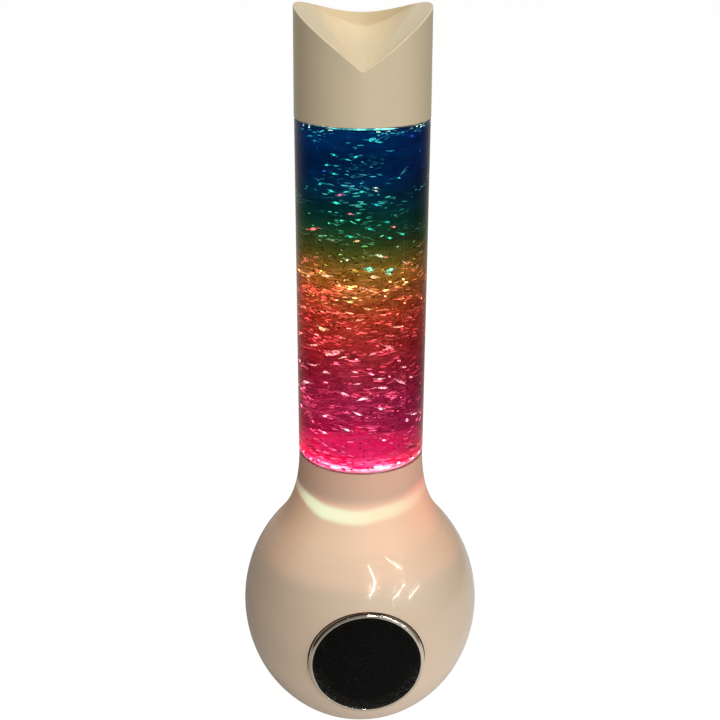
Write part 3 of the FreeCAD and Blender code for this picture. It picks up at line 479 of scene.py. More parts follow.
# what one passage through the film lets through, from the foot of the bottle to its top
PASS = [(158, (0.80, 0.16, 0.30)), (180, (0.78, 0.12, 0.26)), (200, (0.66, 0.09, 0.20)), (222, (0.66, 0.08, 0.13)),
        (244, (0.72, 0.13, 0.10)), (260, (0.74, 0.30, 0.10)), (271, (0.66, 0.46, 0.12)), (280, (0.32, 0.46, 0.16)),
        (290, (0.12, 0.44, 0.26)), (304, (0.06, 0.38, 0.36)), (320, (0.05, 0.30, 0.44)), (342, (0.05, 0.32, 0.50))]
# and its own light, one passage
GLOW = [(158, (0.150, 0.0065, 0.0560)), (178, (0.098, 0.0070, 0.0360)), (197, (0.142, 0.0125, 0.0440)),
        (212, (0.108, 0.0138, 0.0280)), (229, (0.150, 0.0200, 0.0180)), (244, (0.172, 0.0360, 0.0170)),
        (256, (0.156, 0.0650, 0.0185)), (266, (0.148, 0.0810, 0.0170)), (275, (0.082, 0.0640, 0.0150)),
        (284, (0.0220, 0.0300, 0.0125)), (293, (0.0032, 0.0200, 0.0155)), (303, (0.0014, 0.0155, 0.0215)),
        (318, (0.0005, 0.0110, 0.0450)), (342, (0.0004, 0.0142, 0.0550))]


# the haze further in
HAZE = [(158, (0.20, 0.008, 0.050)), (190, (0.12, 0.008, 0.036)), (215, (0.11, 0.010, 0.020)), (240, (0.14, 0.032, 0.012)),
        (260, (0.10, 0.060, 0.010)), (276, (0.035, 0.040, 0.009)), (292, (0.005, 0.020, 0.013)), (310, (0.001, 0.012, 0.030)),
        (342, (0.001, 0.012, 0.042))]


def film(name):
    """Tinted film lining the bottle: red at the foot through amber and green to blue, lit from inside."""
    t = Tree(name)
    h = height(t, 2.5)
    share = 0.15
    passed = t.ramp(h, [(at(z), tuple(math.sqrt(v) / (1 - share) for v in c)) for z, c in PASS])
    glow = t.ramp(h, [(at(z), tuple(v / share / 1.7 for v in c)) for z, c in GLOW])
    # soft drifts of far glitter, long in the direction of the swirl
    drift = t.noise(26.0, 5.0, 0.62, t.stretch(1.0, 1.0, 3.6), distort=0.4)
    fine = t.noise(140.0, 3.0, 0.6, t.stretch(1.0, 1.0, 4.0))
    k = t.math("MULTIPLY", t.span(drift, 0.30, 0.72, 0.62, 1.45), t.span(fine, 0.35, 0.75, 0.80, 1.30))
    grain = t.noise(330.0, 3.0, 0.65, t.stretch(1.0, 1.0, 3.0), distort=0.3)
    rough = t.mix(t.span(h, at(268), at(292)), t.span(grain, 0.34, 0.70, 0.62, 1.55), t.span(grain, 0.34, 0.70, 0.86, 1.18))
    k = t.math("MULTIPLY", k, rough)
    # painted shade: the glow is dimmer towards the +X side and at the very edges; faint lighter upright lines at four
    # fixed angles lie over fine upright streaks
    deg = t.around()
    duller = t.curve(deg, -180.0, 180.0, [(-180, 0.70), (-90, 0.66), (-60, 0.80), (-36, 0.93), (-8, 1.0), (14, 0.98),
                                          (36, 0.76), (60, 0.58), (90, 0.50), (180, 0.70)])
    k = t.math("MULTIPLY", k, duller)
    upright_lines = t.span(t.noise(75.0, 2.0, 0.5, t.stretch(1.0, 1.0, 0.03)), 0.35, 0.68, 0.93, 1.08)
    for line, wide in ((36.5, 0.9), (40.5, 0.6), (59.0, 0.8), (-48.0, 0.6)):
        off = t.math("ABSOLUTE", t.math("SUBTRACT", deg, line))
        upright_lines = t.math("ADD", upright_lines, t.math("MULTIPLY", t.span(off, wide, 0.2 * wide), t.span(fine, 0.40, 0.62, 0.15, 0.85)))
    k = t.math("MULTIPLY", k, upright_lines)
    edge = t.add("ShaderNodeLayerWeight")
    edge.inputs[0].default_value = 0.5
    k = t.math("MULTIPLY", k, t.span(edge.outputs["Facing"], 0.55, 1.0, 1.0, 0.45))
    low = t.span(h, at(272), at(298), 1.0, 0.0)
    ahead = t.span(t.math("ABSOLUTE", deg), 115.0, 172.0, 1.0, 0.0)
    for begin, end, above, below in ((-12.0, -52.0, (1.0, 0.95, 1.0), (1.24, 0.70, 0.80)),
                                     (12.0, 52.0, (0.75, 0.86, 1.32), (1.08, 0.88, 0.92))):
        tint = t.mix(low, above, below)
        glow = t.mix(t.math("MULTIPLY", t.span(deg, begin, end), ahead), glow, t.mix(1.0, glow, tint, "MULTIPLY"))
    # painted shade: what passes through the film is dimmer on the same side
    dim = t.math("POWER", duller, 0.6)
    passed = t.mix(1.0, passed, t.mix(dim, (0, 0, 0), (1, 1, 1)), "MULTIPLY")
    return t.surface(t.blend(share, t.clear(passed), t.emission(glow, k)))


def bottle_wall(name):
    """Clear moulded wall with faint draw lines, wet inside, so that it bends light as one body with the liquid."""
    t = Tree(name)
    draw = t.noise(85.0, 2.0, 0.5, t.stretch(1.0, 1.0, 0.04))
    t.principled(Base_Color=(1.0, 1.0, 1.0), Roughness=0.0, IOR=1.40, Transmission_Weight=1.0, Specular_IOR_Level=0.10,
                 Specular_Tint=(0.0, 0.0, 0.0), Normal=t.bump(draw, 0.00003, 0.10))
    return t.mat


def wet_wall(name):
    """Inside of the bottle: with liquid against it, it neither mirrors nor bends light."""
    t = Tree(name)
    thin = t.ramp(t.noise(30.0), [(0.3, (0.985, 0.985, 0.985)), (0.7, (1.0, 1.0, 1.0))])
    return t.surface(t.clear(thin))


def lit_floor(name, strong=1.0):
    """Floor of the bottle and the glitter settled on it, lit through from below."""
    t = Tree(name)
    x, y, z = t.xyz()
    fleck = t.voronoi(470.0, feature="F1", out="Color")
    sep = t.add("ShaderNodeSeparateColor")
    t.put(sep.inputs[0], fleck)
    pick = sep.outputs[0]
    cloud = t.noise(80.0, 4.0, 0.6)
    side = t.span(x, -0.03, 0.03, 0.0, 1.0, smooth=False)
    deep = t.mix(side, (1.95, 0.0, 0.24), (1.55, 0.03, 0.14))
    pale = t.mix(side, (2.0, 0.80, 1.25), (1.7, 0.60, 0.80))
    front = t.span(y, -0.004, -0.028, 0.0, 1.0)
    middle = t.span(t.math("ABSOLUTE", x), 0.030, 0.008)
    mild = t.math("ADD", t.math("MULTIPLY", middle, 0.80), t.math("MULTIPLY", front, t.math("ADD", 0.30, t.math("MULTIPLY", middle, 0.7))))
    base = t.mix(t.math("MULTIPLY", t.span(cloud, 0.38, 0.64), mild, clamp=True), deep, pale)
    base = t.mix(t.span(pick, 0.92, 0.95), base, (2.4, 1.7, 2.0))
    base = t.mix(t.span(pick, 0.10, 0.05), base, (0.45, 0.0, 0.05))
    big = t.add("ShaderNodeSeparateColor")
    t.put(big.inputs[0], t.voronoi(330.0, feature="F1", out="Color"))
    base = t.mix(t.math("MULTIPLY", t.span(big.outputs[1], 0.86, 0.90), front), base, (3.6, 2.4, 2.7))
    return t.surface(t.emission(base, strong))


def ledge_light(name):
    """Top of the bottle's inside, under the cap, where the light leaves as a thin broken cyan line."""
    t = Tree(name)
    n = t.noise(130.0, 4.0, 0.70)
    lit = t.ramp(n, [(0.38, (0.02, 0.16, 0.20)), (0.50, (0.12, 0.85, 0.85)), (0.60, (0.60, 2.40, 2.00))])
    return t.surface(t.emission(lit, 1.0))


def haze(name):
    """Liquid thick with the finest flakes: it dims what lies behind it and glows with the colour of its height."""
    t = Tree(name)
    h = height(t, 3.0)
    share = 0.22
    glow = t.ramp(h, [(at(z), tuple(v * 0.75 / share for v in c)) for z, c in HAZE])
    drift = t.noise(30.0, 4.0, 0.6, t.stretch(1.0, 1.0, 3.4), distort=0.4)
    return t.surface(t.blend(share, t.clear((0.86, 0.86, 0.86)), t.emission(glow, t.span(drift, 0.32, 0.72, 0.35, 1.5))))


def flake(name, lo, hi, hue):
    """Metallised glitter catching the light: each flake has its own brightness and tint."""
    t = Tree(name)
    rnd = t.add("ShaderNodeNewGeometry").outputs["Random Per Island"]
    r2 = t.math("FRACT", t.math("MULTIPLY", rnd, 37.77))
    tint = t.ramp(r2, hue, "LINEAR")
    power = t.math("POWER", rnd, 3.0)
    strength = t.span(power, 0.0, 1.0, lo, hi, smooth=False)
    # brighter in its middle than at its tips
    shimmer = t.span(t.noise(900.0, 1.0), 0.25, 0.75, 0.55, 1.45)
    t.surface(t.emission(tint, t.math("MULTIPLY", strength, shimmer)))
    t.mat.cycles.emission_sampling = "NONE"
    return t.mat


def dark_flake(name):
    t = Tree(name)
    rnd = t.add("ShaderNodeNewGeometry").outputs["Random Per Island"]
    c = t.ramp(rnd, [(0.0, (0.004, 0.001, 0.0)), (0.7, (0.02, 0.006, 0.002)), (1.0, (0.07, 0.018, 0.008))])
    return t.surface(t.emission(c, t.span(t.noise(800.0), 0.3, 0.7, 0.5, 1.0)))


def clear_moulding(name):
    """Clear impeller in the lit foot of the bottle: it glows with the light that passes through it."""
    t = Tree(name)
    edge = t.add("ShaderNodeLayerWeight")
    edge.inputs[0].default_value = 0.35
    n = t.noise(160.0, 3.0)
    lit = t.ramp(n, [(0.3, (1.20, 0.02, 0.26)), (0.6, (1.35, 0.20, 0.55)), (0.8, (1.8, 1.0, 1.5))])
    fac = t.span(edge.outputs["Facing"], 0.1, 0.9, 0.55, 0.85)
    return t.surface(t.blend(fac, t.clear((1.0, 0.6, 0.75)), t.emission(lit, 1.0)))


# ---- mesh helpers ---------------------------------------------------------------------------------
def new_object(name, bm, mats, body="lamp"):
    me = bpy.data.meshes.new(name)
    bm.normal_update()
    bm.to_mesh(me)
    bm.free()
    for m in mats:
        me.materials.append(m)
    o = bpy.data.objects.new(name, me)
    scene.collection.objects.link(o)
    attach(o, body)
    return o


def lathe(name, loop, mats, segs=256, body="lamp", sharp=32.0, wobble=None):
    """Closed turn about Z. loop is (r, z, slot of the face to the next point) in millimetres, counter-clockwise in (r, z)."""
    bm = bmesh.new()
    n = len(loop)
    rings = []
    for i, (r, z, _) in enumerate(loop):
        if r < 1e-6:
            rings.append([bm.verts.new((0, 0, z * MM))])
            continue
        ring = []
        for k in range(segs):
            a = 2 * math.pi * k / segs
            dr, dz = wobble(i, a, r, z) if wobble else (0.0, 0.0)
            ring.append(bm.verts.new(((r + dr) * MM * math.cos(a), (r + dr) * MM * math.sin(a), (z + dz) * MM)))
        rings.append(ring)
    for i in range(n):
        a, b, m = rings[i], rings[(i + 1) % n], loop[i][2]
        if len(a) == 1 and len(b) == 1:
            continue
        for k in range(segs):
            k2 = (k + 1) % segs
            if len(a) == 1:
                f = bm.faces.new((a[0], b[k2], b[k]))
            elif len(b) == 1:
                f = bm.faces.new((a[k], a[k2], b[0]))
            else:
                f = bm.faces.new((a[k], a[k2], b[k2], b[k]))
            f.material_index = m
            f.smooth = True
    for i in range(n):
        p, q, s = loop[i - 1], loop[i], loop[(i + 1) % n]
        u = Vector((q[0] - p[0], q[1] - p[1]))
        v = Vector((s[0] - q[0], s[1] - q[1]))
        if len(rings[i]) > 1 and u.length > 1e-9 and v.length > 1e-9 and math.degrees(u.angle(v)) > sharp:
            for k in range(segs):
                e = bm.edges.get((rings[i][k], rings[i][(k + 1) % segs]))
                if e:
                    e.smooth = False
    bmesh.ops.recalc_face_normals(bm, faces=bm.faces)
    return new_object(name, bm, mats, body)


def arc_pts(cr, cz, rad, a0, a1, n, m):
    return [(cr + rad * math.cos(math.radians(a0 + (a1 - a0) * i / n)),
             cz + rad * math.sin(math.radians(a0 + (a1 - a0) * i / n)), m) for i in range(n + 1)]


# ---- finishes of the CAD nodes --------------------------------------------------------------------
SHELL = (0.765, 0.599, 0.442)
M_BASE = gloss_shell("shell_gloss_lit", SHELL, glow=True)
M_SHELL = gloss_shell("shell_gloss", SHELL)
M_CAP = gloss_shell("cap_gloss", (0.775, 0.650, 0.442), coat=0.30, haze_of_coat=0.11)
M_WHITE = moulded("moulded_white", (0.74, 0.72, 0.68), 0.45)
M_DARK = moulded("moulded_dark", (0.035, 0.035, 0.038), 0.45, 1100.0, 0.00004)
M_BUTTON = gloss_shell("button_gloss", (0.60, 0.48, 0.37))
M_RUBBER = rubber("rubber_black", (0.022, 0.022, 0.022))
M_SCREW = metal("screw_zinc", (0.62, 0.62, 0.60), 0.30)
M_BALLAST = cast("ballast_iron", (0.16, 0.155, 0.15))
M_BOARD = circuit_board("board_green")
M_COMP = moulded("component_epoxy", (0.028, 0.028, 0.030), 0.38, 1500.0, 0.00002)
M_DIFF = frosted("diffuser_frost")
M_LED = led_face("led_face")
M_MOTOR = metal("motor_steel", (0.60, 0.60, 0.58), 0.28)
M_MAGNET = cast("magnet_ferrite", (0.07, 0.07, 0.075), 0.40, 0.3)
M_SILI = moulded("gasket_silicone", (0.70, 0.66, 0.62), 0.35)
M_CHROME = chrome("trim_chrome")
M_MESH = satin_black("mesh_black")
M_STEEL = metal("frame_black", (0.045, 0.045, 0.045), 0.42)
M_COIL = copper_coil("coil_copper")
M_PAPER = pressed_paper("cone_paper")
M_LEAD = lead_sheath("lead_red", (0.42, 0.02, 0.02))
M_LEAD2 = lead_sheath("lead_black", (0.03, 0.03, 0.03))
M_CLEAR = clear_moulding("impeller_clear")
M_FILM = film("rainbow_film")
M_JACK = moulded("socket_body", (0.022, 0.022, 0.024), 0.35, 1300.0, 0.00002)

FINISH = {
    M_BASE: ["base_shell"],
    M_SHELL: ["control_panel"],
    M_CAP: ["cap"],
    M_WHITE: ["lamp_chassis", "magnet_carrier", "bottle_plug"],
    M_DARK: ["bottom_cover", "motor_end_cap", "rocker_housing", "rocker_paddle"],
    M_BUTTON: ["button_minus", "button_play", "button_plus"],
    M_RUBBER: ["rubber_foot", "plug_seal", "speaker_surround"],
    M_SCREW: ["cover_screws", "board_screws", "chassis_screws", "motor_screws", "speaker_screws", "panel_screws"],
    M_BALLAST: ["ballast_weight"],
    M_BOARD: ["main_board", "led_board", "control_board"],
    M_COMP: ["board_components", "tact_switches"],
    M_DIFF: ["light_diffuser"],
    M_LED: ["leds"],
    M_MOTOR: ["motor_can", "motor_armature", "motor_shaft", "impeller_pin", "speaker_yoke"],
    M_MAGNET: ["motor_field_magnets", "drive_magnets", "impeller_magnets", "speaker_magnet"],
    M_SILI: ["bottle_gasket"],
    M_CHROME: ["trim_ring"],
    M_STEEL: ["speaker_frame"],
    M_COIL: ["voice_coil"],
    M_PAPER: ["speaker_cone", "dust_cap", "speaker_spider"],
    M_LEAD: ["speaker_leads"],
    M_LEAD2: ["lamp_leads"],
    M_CLEAR: ["impeller", "impeller_retainer"],
    M_FILM: ["rainbow_film"],
    M_JACK: ["dc_inlet", "aux_jack"],
}
for mat, names in FINISH.items():
    for n in names:
        NODE[n].data.materials.clear()
        NODE[n].data.materials.append(mat)

# ---- bottle ---------------------------------------------------------------------------------------
# The outer skin bends light; the wetted inside doesn't. Slots: 0 outer wall, 1 wetted inside, 2 lit floor, 3 lit ledge.
RO, RI = 35.0, 32.62
loop = [(0.0, 156.0, 0), (28.5, 156.0, 0), (28.5, 150.0, 0), (31.0, 150.0, 0), (31.0, 156.0, 0)]
loop += arc_pts(32.0, 159.0, 3.0, -90, 0, 14, 0)
loop += [(35.0, 175.0, 0), (35.0, 260.0, 0), (35.0, 342.1, 0)]
loop += arc_pts(34.2, 342.1, 0.8, 0, 90, 5, 0)[1:]
loop += [(32.3, 342.9, 0), (32.3, 356.5, 0), (30.3, 358.5, 0), (11.0, 358.5, 0), (11.0, 363.0, 0), (8.0, 363.0, 0),
         (8.0, 356.0, 1), (27.9, 356.0, 1), (29.9, 354.0, 1), (29.9, 344.0, 1), (32.15, 342.2, 3), (RI, 341.75, 1), (RI, 300.0, 1),
         (RI, 200.0, 1), (RI, 162.2, 1)]
loop += arc_pts(31.3, 159.7, RI - 31.3, 0, -90, 6, 2)[1:]
loop += [(31.3, 158.5, 2), (1.05, 158.5, 2), (1.05, 157.0, 2), (0.0, 157.0, 2)]
clean = []
for p in loop:
    if not clean or math.hypot(p[0] - clean[-1][0], p[1] - clean[-1][1]) > 1e-4:
        clean.append(p)
bottle = lathe("clear_bottle", clean, [bottle_wall("bottle_clear"), wet_wall("bottle_wet_inside"),
                                       lit_floor("bottle_floor_lit", 1.0), ledge_light("bottle_ledge_lit")],
               segs=256)
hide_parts("bottle")

# glitter settled in the corner between the floor and the wall
rng = random.Random(11)
waves = [(rng.randint(3, 40), rng.uniform(0, 6.28), rng.uniform(0.05, 0.30)) for _ in range(16)]


def heap(i, a, r, z):
    s = sum(w * math.sin(f * a + p + r * 0.7) for f, p, w in waves)
    if 4 <= i <= 8:
        return 0.0, 0.10 * s
    return 0.0, 0.0


heap_loop = [(23.7, 158.60, 0), (31.2, 158.60, 0), (31.9, 158.95, 0), (32.2, 159.65, 0), (32.1, 160.1, 0), (31.0, 159.75, 0),
             (29.0, 159.35, 0), (27.0, 159.15, 0), (25.0, 158.95, 0)]
settled = lathe("settled_glitter", heap_loop, [lit_floor("glitter_settled", 0.95)], segs=200,
                sharp=70.0, wobble=heap)

# ---- glitter in the liquid ------------------------------------------------------------------------


def sliver(bm, rad, ang, z, length, high, thick, tilt, bend, roll, sides):
    """Thin closed flake along the swirl: curved with its orbit, tapered at both ends. All in millimetres."""
    rows = []
    for i in range(sides + 1):
        s = i / sides * 2 - 1
        w = high * 0.5 * (1 - 0.62 * s * s)
        a = ang + s * length * 0.5 / max(rad, 4.0)
        zz = z + tilt * s * length * 0.5 + bend * s * s * length * 0.25
        ca, sa = math.cos(a), math.sin(a)
        cr, sr = math.cos(roll), math.sin(roll)
        row = []
        for uw, ut in ((-w, -thick), (w, -thick), (w, thick), (-w, thick)):
            up = uw * cr - ut * sr
            outw = uw * sr + ut * cr
            row.append(bm.verts.new(((rad + outw) * ca * MM, (rad + outw) * sa * MM, (zz + up) * MM)))
        rows.append(row)
    for r0, r1 in zip(rows, rows[1:]):
        for k in range(4):
            k2 = (k + 1) % 4
            bm.faces.new((r0[k], r0[k2], r1[k2], r1[k]))
    bm.faces.new(rows[0][::-1])
    bm.faces.new(rows[-1])


def free_place(rad, z, reach):
    """Clear of the stirrer, of the settled glitter and of the film."""
    if rad + reach > 32.2:
        return False
    if z < 172.0 and rad - reach < 23.6:
        return False
    if z < 164.6:
        return False
    return z < 341.0


def near_wall(rnd):
    """Most flakes keep to the moving liquid near the wall, the rest are anywhere clear of the haze."""
    if rnd.random() < 0.80:
        return rnd.uniform(25.6, 31.9)
    return math.sqrt(rnd.uniform(16.0, 23.2 ** 2))


def strands(rnd, n, lo, hi, flakes, spread, size, high, towards=None):
    """Flakes in loose strands along the swirl: n strands between two heights, some flakes in each."""
    specs = []
    for _ in range(n):
        ang = rnd.uniform(-math.pi, math.pi) if towards is None else math.radians(rnd.gauss(towards[0], towards[1]) - 90.0)
        z, rad = rnd.uniform(lo, hi), near_wall(rnd)
        slope = rnd.gauss(-0.02, 0.12)
        for _ in range(rnd.randint(*flakes)):
            run = rnd.gauss(0.0, spread)
            specs.append((min(max(rad + rnd.gauss(0.0, 0.7), 4.0), 31.9), ang + run / max(rad, 12.0),
                          z + slope * run + rnd.gauss(0.0, 0.9), rnd.uniform(*size), rnd.uniform(*high), 0.035,
                          slope + rnd.gauss(0.0, 0.14), rnd.gauss(-0.02, 0.14), rnd.uniform(-0.9, 0.9), 5))
    return specs


def singles(rnd, n, lo, hi, size, high, wall=False, power=1.0):
    specs = []
    for _ in range(n):
        rad = 32.56 if wall else near_wall(rnd)     # against the wall they lie flat between it and the film
        specs.append((rad, rnd.uniform(-math.pi, math.pi), lo + (hi - lo) * rnd.random() ** power, rnd.uniform(*size),
                      rnd.uniform(*high), 0.025 if wall else 0.035, rnd.gauss(-0.02, 0.20), rnd.gauss(0.0, 0.10),
                      0.0 if wall else rnd.uniform(-1.1, 1.1), 4))
    return specs


def scatter(name, seed, build, mat):
    bm = bmesh.new()
    for spec in build(random.Random(seed)):
        if spec[0] > 32.5 or free_place(spec[0], spec[2], spec[4] * 0.5 * abs(math.sin(spec[8])) + 0.15):
            sliver(bm, *spec)
    bmesh.ops.recalc_face_normals(bm, faces=bm.faces)
    return new_object(name, bm, [mat], "lamp")


WHITE_HUE = [(0.0, (1.0, 0.85, 0.75)), (0.4, (1.0, 1.0, 1.0)), (0.7, (0.90, 1.0, 0.80)), (1.0, (1.0, 0.70, 0.95))]
WARM_HUE = [(0.0, (1.0, 0.30, 0.35)), (0.5, (1.0, 0.75, 0.60)), (1.0, (1.0, 0.45, 0.75))]
CORAL_HUE = [(0.0, (1.0, 0.12, 0.30)), (0.6, (1.0, 0.30, 0.50)), (1.0, (1.0, 0.85, 0.60))]
COOL_HUE = [(0.0, (0.50, 1.0, 0.62)), (0.6, (0.60, 1.0, 0.85)), (1.0, (0.90, 1.0, 0.90))]

flakes = [
    scatter("glitter_fine", 21, lambda r: singles(r, 2300, 164.8, 266, (0.5, 1.8), (0.22, 0.55)),
            flake("flake_fine", 0.30, 1.8, WARM_HUE)),
    scatter("glitter_streaks", 22, lambda r: strands(r, 290, 165, 264, (2, 9), 3.4, (1.4, 4.4), (0.35, 0.85)),
            flake("flake_streak", 0.40, 3.0, WARM_HUE)),
    scatter("glitter_sparks", 23, lambda r: strands(r, 112, 165, 264, (1, 4), 3.0, (1.2, 3.8), (0.55, 1.10))
            + singles(r, 50, 165, 282, (0.6, 1.4), (0.5, 0.9)),
            flake("flake_spark", 1.6, 20.0, WHITE_HUE)),
    scatter("glitter_coral", 24, lambda r: strands(r, 15, 236, 266, (4, 14), 3.2, (1.2, 3.8), (0.50, 1.25), (-52, 20))
            + strands(r, 12, 232, 276, (2, 7), 3.0, (1.2, 3.2), (0.40, 0.9)),
            flake("flake_coral", 0.8, 7.0, CORAL_HUE)),
    scatter("glitter_upper", 25, lambda r: strands(r, 40, 272, 339.5, (1, 6), 3.6, (1.0, 3.4), (0.35, 0.75))
            + strands(r, 44, 276, 339.5, (1, 6), 3.4, (1.0, 3.4), (0.35, 0.80), (-8, 26))
            + strands(r, 22, 338.6, 340.6, (3, 8), 3.6, (1.0, 3.0), (0.35, 0.80))
            + singles(r, 130, 268, 339, (0.6, 1.8), (0.3, 0.6), power=1.3),
            flake("flake_upper", 0.28, 2.5, COOL_HUE)),
    scatter("glitter_shaded", 26, lambda r: singles(r, 620, 168, 262, (0.5, 1.5), (0.30, 0.60), True)
            + singles(r, 980, 238, 288, (0.5, 1.5), (0.35, 0.75), True)
            + singles(r, 120, 286, 330, (0.5, 1.3), (0.30, 0.55), True),
            dark_flake("flake_shaded")),
]


def spot(name, colour):
    """A flake that catches the light full on: one tint, livelier in its middle."""
    t = Tree(name)
    lively = t.math("MULTIPLY", t.span(t.noise(650.0, 1.0), 0.30, 0.70, 0.45, 1.5), t.span(t.noise(2200.0, 1.0), 0.3, 0.7, 0.6, 1.3))
    t.surface(t.emission(colour, lively))
    t.mat.cycles.emission_sampling = "NONE"
    return t.mat


# the most visible flakes at the front: (degrees from the front, height, length, width, rise per length)
PLACED = {
    "P": [(-52.9, 289.2, 5.9, 1.44, 0.17), (-23.3, 309.2, 3.3, 1.28, 0.23), (-14.1, 299.8, 2.1, 0.97, 0.05),
           (26.4, 292.3, 1.9, 0.98, -0.13)],
    "W": [(-7.8, 286, 2.4, 1.09, 0.02), (8.8, 313, 2.1, 0.95, -0.05), (8.9, 311.5, 1.6, 0.95, -0.05)],
    "b": [(-39.2, 320.3, 1.3, 1.06, 0.13), (45.1, 337.1, 1.9, 1.15, -0.14)],
    "c": [(-43.7, 313.4, 1.8, 1.18, 0.15), (-36, 323.5, 2.2, 1.16, 0.12), (-32, 310.7, 2.9, 1.17, -0.11),
           (-29, 319.5, 2.3, 0.84, 0.1), (-28.9, 328.9, 1.9, 1.04, -0.18), (-27.1, 304.9, 2.8, 1.39, -0.09),
           (-16, 327, 3.1, 0.83, -0.15), (-8.9, 328.6, 2, 1.04, 0.22), (-7, 296.9, 2.4, 0.97, 0.02),
           (-3.6, 311.2, 2.1, 1.06, 0), (4, 336.5, 2.6, 1.13, -0.12), (10.2, 335.9, 3.7, 1.03, -0.24),
           (30.9, 317.1, 2, 0.85, -0.13)],
    "d": [(-55.7, 336.5, 3.5, 0.84, 0.15), (-49.3, 334.6, 3, 0.78, 0), (-27, 323.6, 3.4, 0.73, -0.01),
           (12.3, 319.5, 2.7, 0.84, -0.25)],
    "g": [(-13.2, 288, 2.7, 1.2, -0.06), (3.8, 292.2, 2.4, 1.09, -0.03), (9.9, 304.4, 3.2, 0.96, -0.25),
           (19.4, 295.3, 2.3, 1.08, -0.1), (22.5, 286.8, 2.1, 1.21, -0.12), (35.2, 287.9, 3.5, 1.1, -0.32)],
    "g2": [(45.9, 182.7, 2.2, 2.5, -0.34)],
    "M": [(4.2, 271.1, 1.7, 1.5, 0.0), (22.4, 268.2, 1.5, 0.9, -0.2), (23.6, 270.2, 1.3, 0.8, 0.1)],
    "m": [(4, 271, 4.3, 3.34, -0.04), (22, 267.9, 3, 1.68, -0.32), (23, 269.9, 4.1, 2.24, 0.14)],
    "r": [(-69.9, 269.3, 4.6, 1.37, 0.59), (-64.1, 271.3, 5, 2.84, -0.03), (-49.3, 274.8, 4.7, 1.12, 0.21),
           (-46.9, 267.6, 5.4, 1.7, -0.16), (-40.1, 252.7, 3.3, 0.92, -0.05), (-22.5, 262.3, 3.6, 1.13, -0.39),
           (-18.7, 241.9, 3.9, 1.27, 0.3), (-15, 259.9, 3.2, 0.9, -0.24), (-8.5, 258, 2.1, 0.85, -0.18),
           (18.1, 224.4, 6.2, 0.94, 0.2), (18.8, 277.1, 2.9, 1.11, -0.11), (43.1, 271.8, 4.7, 1.46, 0.05),
           (63.6, 274.9, 6.4, 0.91, 0.01)],
    "w": [(-66.8, 202.1, 7, 1.85, 0.27), (-54.8, 214.2, 7, 0.97, 0.18), (-53.1, 225.9, 7, 0.95, 0.25),
           (-42.6, 236.4, 4.7, 2.11, -0.1), (-39.8, 187, 2.8, 1.24, 0.26), (-38.3, 212.7, 4, 1.44, 0.05),
           (-34.9, 223.3, 3.8, 1.18, -0.03), (-19.7, 201.9, 3.6, 1.81, -0.41), (-19.6, 222.9, 3.4, 1.06, 0.21),
           (-16.7, 181.2, 3.9, 1.24, -0.22), (-9.2, 214.9, 2.7, 1.07, -0.28), (-6.4, 208.2, 2.8, 0.96, 0.13),
           (-6.3, 190.9, 3.1, 1.22, -0.42), (-2.6, 199.6, 4.3, 1.33, 0.32), (0.3, 199.6, 3.4, 1.21, -0.03),
           (14.4, 210.5, 3.5, 1.08, -0.02), (15.7, 193.2, 2.6, 1.47, -0.35), (17.5, 205.1, 6, 1.21, -0.1),
           (37.1, 206.4, 5.9, 1.7, -0.5), (40.5, 214.5, 3.3, 1.2, -0.28), (50.6, 207.1, 3.1, 1.46, -0.33),
           (57, 184.1, 7, 1, -0.24)],
    "y": [(-71.1, 244.3, 7, 1.53, 0.16), (-61, 263, 3.2, 1.72, 0.26), (-36.6, 266, 4.5, 1.69, 0.08),
           (-27.5, 225.2, 5.4, 2.12, 0.06), (-23.5, 233.8, 3.2, 1.28, -0.28), (-16.8, 275.8, 1.4, 1.44, 0.07),
           (-14, 253.5, 3.8, 1.14, -0.04), (-9.4, 255.8, 3.2, 1.13, -0.07), (-5.7, 243.9, 4.3, 1.15, 0.17),
           (-0.4, 260.7, 3.2, 0.9, -0.17), (1.6, 249.9, 3.2, 1.37, -0.24), (5.1, 259.6, 2.6, 1.13, -0.36),
           (7.4, 225, 3.3, 1.29, 0.14), (7.7, 267, 3.3, 1.9, -0.06), (13.1, 277.9, 3.8, 1.66, -0.38),
           (22, 228, 4.6, 1.29, -0.54), (32.4, 238.1, 6.3, 1.05, -0.19), (38.1, 272.8, 2.6, 0.9, -0.64),
           (56.6, 267.8, 2.8, 0.91, 0.39)],
}
SPOTS = {"w": ("white", (3.2, 9.5, 5.0)), "Y": ("peach_high", (2.4, 2.3, 4.6)), "W": ("white_high", (14.0, 3.0, 2.2)), "P": ("pink_high", (15.0, 0.8, 1.2)),
         "b": ("blue", (0.8, 0.5, 2.2)), "c": ("cyan", (0.7, 2.5, 1.6)), "d": ("teal", (0.4, 1.0, 0.75)),
         "g": ("green", (0.35, 2.0, 2.2)), "g2": ("pale", (2.4, 6.5, 4.5)), "m": ("mint", (0.25, 1.9, 4.6)),
         "M": ("mint_core", (1.8, 6.5, 9.5)),
         "r": ("coral", (1.5, 0.55, 1.1)), "y": ("peach", (2.3, 4.6, 3.6))}
PLACED["Y"] = [e for e in PLACED["y"] if e[1] > 258.0]
PLACED["y"] = [e for e in PLACED["y"] if e[1] <= 258.0]
rnd = random.Random(5)
